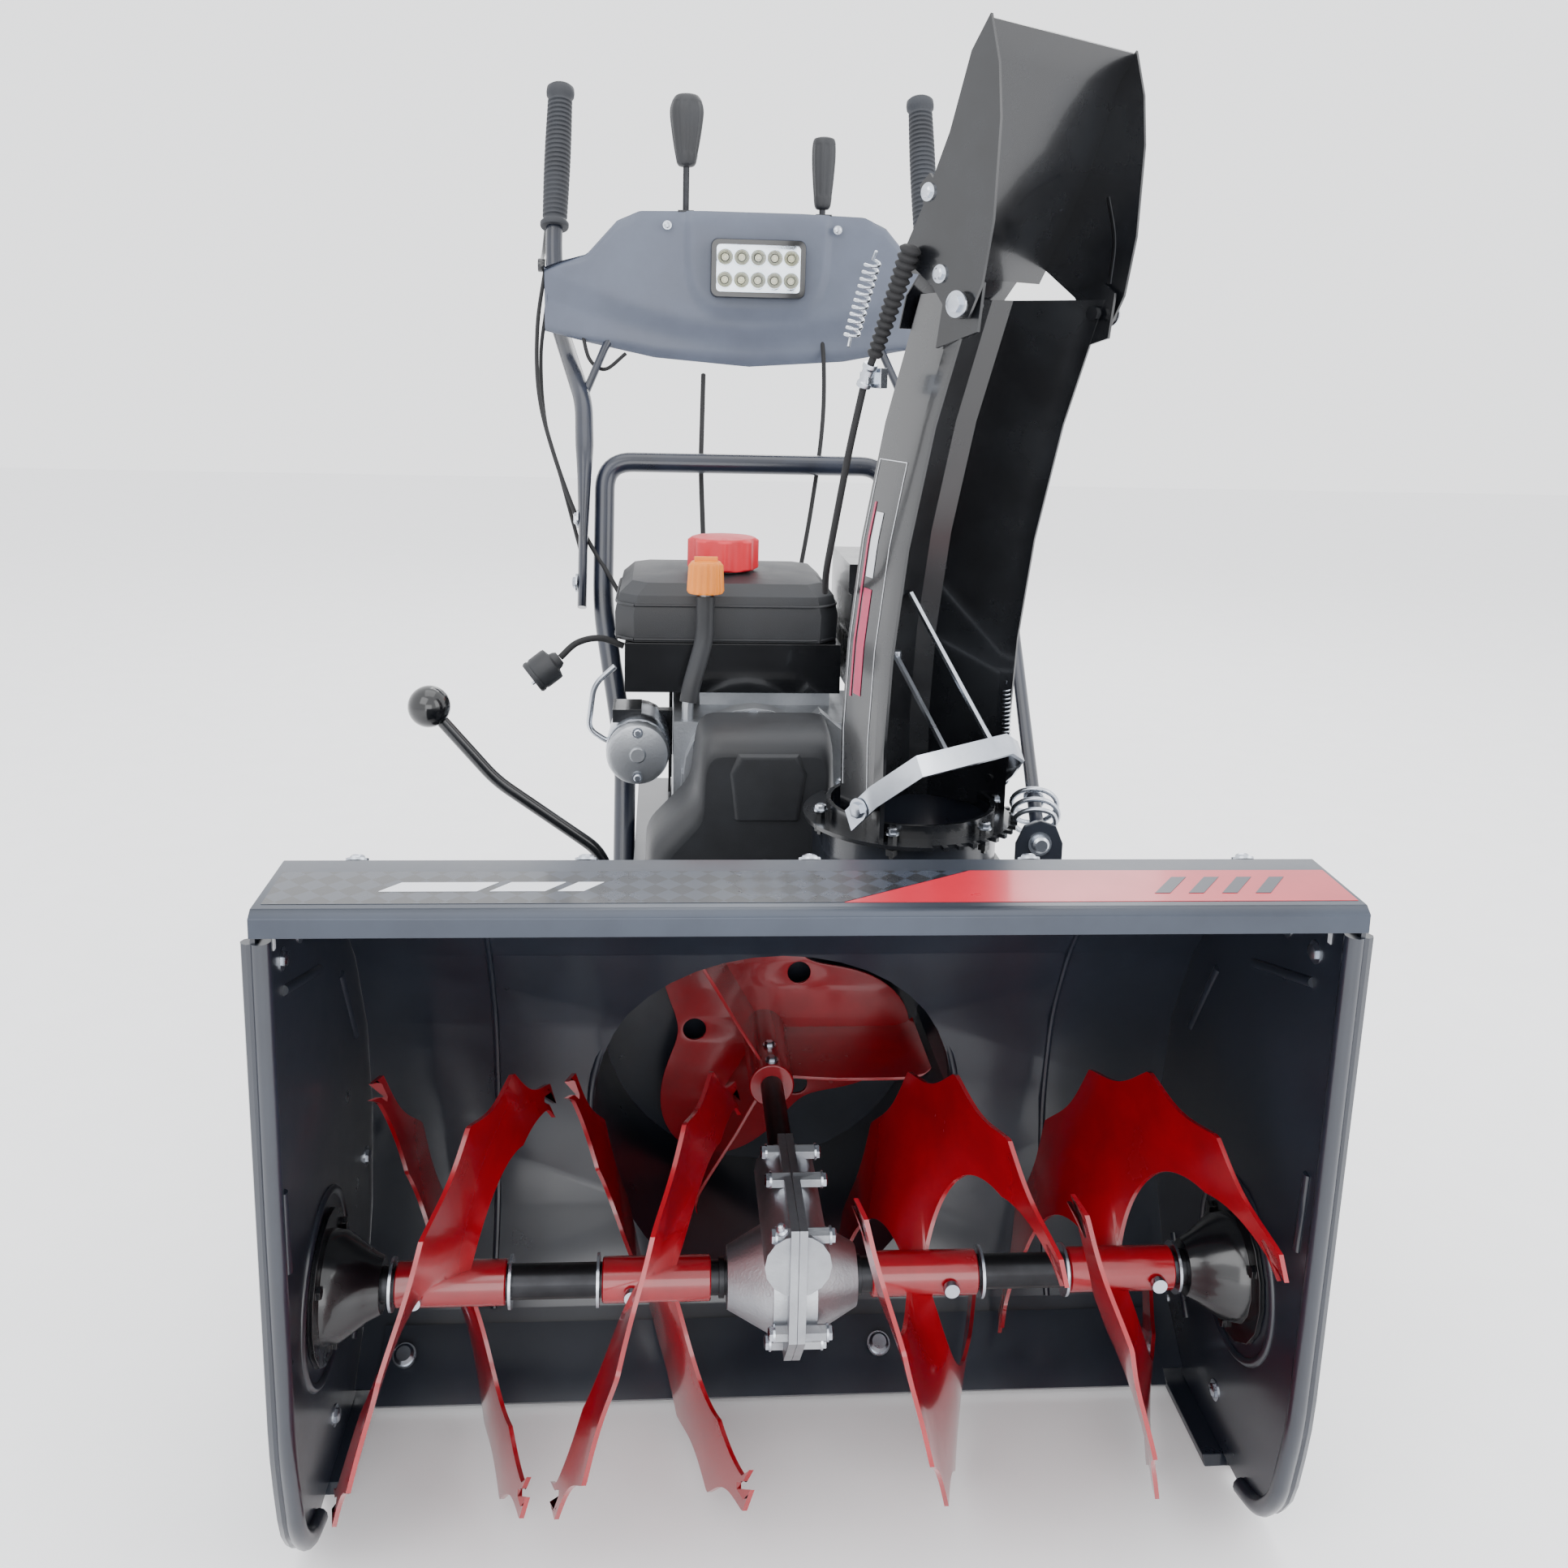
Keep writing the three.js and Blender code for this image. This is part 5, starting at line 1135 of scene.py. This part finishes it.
def coil(start, end, r, turns, wire, name, body, node=None, tails=True):
    """A drawn coil spring between two points, with a straight tail at each end."""
    start, end = Vector(start), Vector(end)
    way = (end - start).normalized()
    length = (end - start).length
    side = (Y - way * Y.dot(way)).normalized()
    up = way.cross(side)
    steps = int(turns * 16)
    path = [start]
    for i in range(steps + 1):
        a = 2 * math.pi * i / 16
        along = way * (length * (0.1 + 0.8 * i / steps))
        path.append(start + along + side * (r * math.cos(a)) + up * (r * math.sin(a)))
    path.append(end)
    made = Shape().sweep(path, wire, 8).make(name, ZINC, body, "zinc", 0, 60)
    if node:
        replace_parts(made, node)
    return made


coil(C(-112, 20, 850), C(-112, 48, 922), 5.6, 11, 1.2, "deflector_coil", "chute_body", "deflector_spring")
coil(C(75, 41, 560), C(76, 44, 494), 3.4, 14, 0.8, "guard_coil", "chute_body")

# ---------- chute crank ----------
WORM_AT = Vector((RING.x + 111, RING.y - 22, 438.2))
WORM_DIR = Vector((0.094, 0.835, 0.543)).normalized()
CRANK_REACH, CRANK_ARM = 640, 52


def chute_crank():
    """The long rod with its wire spiral at the chute's rim and its cranked handle at the operator's end."""
    side = (-X + WORM_DIR * X.dot(WORM_DIR)).normalized()
    up = side.cross(WORM_DIR)

    def on(d):
        return WORM_AT + WORM_DIR * d
    pitch, turns, first, r, steps = 11.82, 3.2, -8, 20, 32
    count = int(turns * steps)
    spiral = []
    for i in range(count + 1):
        along = first + i / steps * pitch
        a = 2 * math.pi * along / pitch
        fade = max(0, 4 / 12 * steps - i, i - (count - 4 / 12 * steps)) * 12 / steps
        radius = r - 3.2 * fade
        spiral.append(on(along) + side * (radius * math.cos(a)) + up * (radius * math.sin(a)))
    shape = Shape().sweep(spiral, 2.3, 12)
    for d in (first, first + turns * pitch):
        shape.lathe([[6.4, -2.5], [8.4, -2.5], [9, -2], [9, 2], [8.4, 2.5], [6.4, 2.5]], on(d), WORM_DIR, 32)
    made = shape.make("crank_spiral", ZINC, "crank_body", "zinc", 0, 60)
    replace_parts(made, "chute_crank")
    end = on(CRANK_REACH)
    rod = Shape().sweep([on(-30), on(-29), on(400), on(CRANK_REACH - 12), on(CRANK_REACH - 2), end + up * 10,
                         end + up * (CRANK_ARM + 2)], 6.2, 20)
    rod.make("crank_rod", TUBE, "crank_body", "tube_paint")
    hold = end + up * CRANK_ARM
    profile = [[0, -8], [8, -8], [10, -6], [11, 0], [10, 28], [9.4, 46], [10.6, 66], [9.6, 71], [6.4, 73.6], [0, 74]]
    line = [(max(p.x, 0), p.y) for p in smooth_path([Vector((a, b, 0)) for a, b in profile], 5)]
    Shape().lathe(line, hold, WORM_DIR, 40).make("crank_knob", PLASTIC, "crank_body", "black_plastic", 0, 60)
    foot = on(-24)
    pin = [((foot.x, foot.y - 2, foot.z), (0, -1, 0))]
    bolts("crank_pin", pin, "machine", ZINC, 7.5, 5, 10.5, 24, 2.0, 1.5)


chute_crank()


# ---------- cables ----------
def cables():
    """The cables from the panel and the grips, the handles' braces, and the bail beside the tank."""
    run = [(-52, 1008, 822), (-54, 962, 762), (-55, 932, 705), (-52, 896, 620), (-50, 869.6, 530)]
    made = Shape().sweep(smooth_path(run, 12), 3, 14).make("control_cable_sheath", RUBBER, "machine", "rubber")
    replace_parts(made, "control_cable")
    for name, run in (
            ("left_clutch_cable", [(-262, 1126, 952), (-268, 1080, 880), (-262, 1020, 800), (-240, 950, 730),
                                   (-200, 880, 640), (-150, 840, 560), (-120, 820, 480)]),
            ("right_clutch_cable", [(262, 1126, 952), (266, 1080, 880), (258, 1020, 800), (236, 950, 730),
                                    (200, 880, 640), (140, 850, 560), (112, 840, 480)]),
            ("shift_cable", [(95, 1016, 900), (100, 990, 840), (96, 950, 760), (80, 905, 660), (60, 868, 560)])):
        Shape().sweep(smooth_path(run, 10), 2.7, 12).make(name, RUBBER, "machine", "rubber")
    for s in (-1, 1):
        brace = [(s * 172, 1006, 862), (s * 178, 1000, 850), (s * 199, 960, 796), (s * 200, 950, 786)]
        Shape().sweep(brace, 5, 16).make("handle_brace_" + ("left" if s < 0 else "right"), TUBE,
                                                            "machine", "tube_paint")
    for name, run in (("throttle_cable", [(-206, 1010, 872), (-196, 1000, 838), (-176, 990, 826), (-150, 985, 846)]),
                      ("lead_left", [(-258, 1100, 905), (-262, 1060, 840), (-252, 1000, 760), (-226, 930, 690),
                                     (-200, 880, 610)])):
        Shape().sweep(smooth_path(run, 10), 2.4, 12).make(name, RUBBER, "machine", "rubber")
    bail = bend([(-150, 640, 520), (-172, 640, 500), (-178, 640, 452), (-160, 640, 440), (-150, 640, 438)], 12)
    Shape().sweep(bail, 3, 12).make("tank_bail", ZINC, "machine", "zinc")


cables()

# ---------- last update of the view layer ---
bpy.context.view_layer.update()
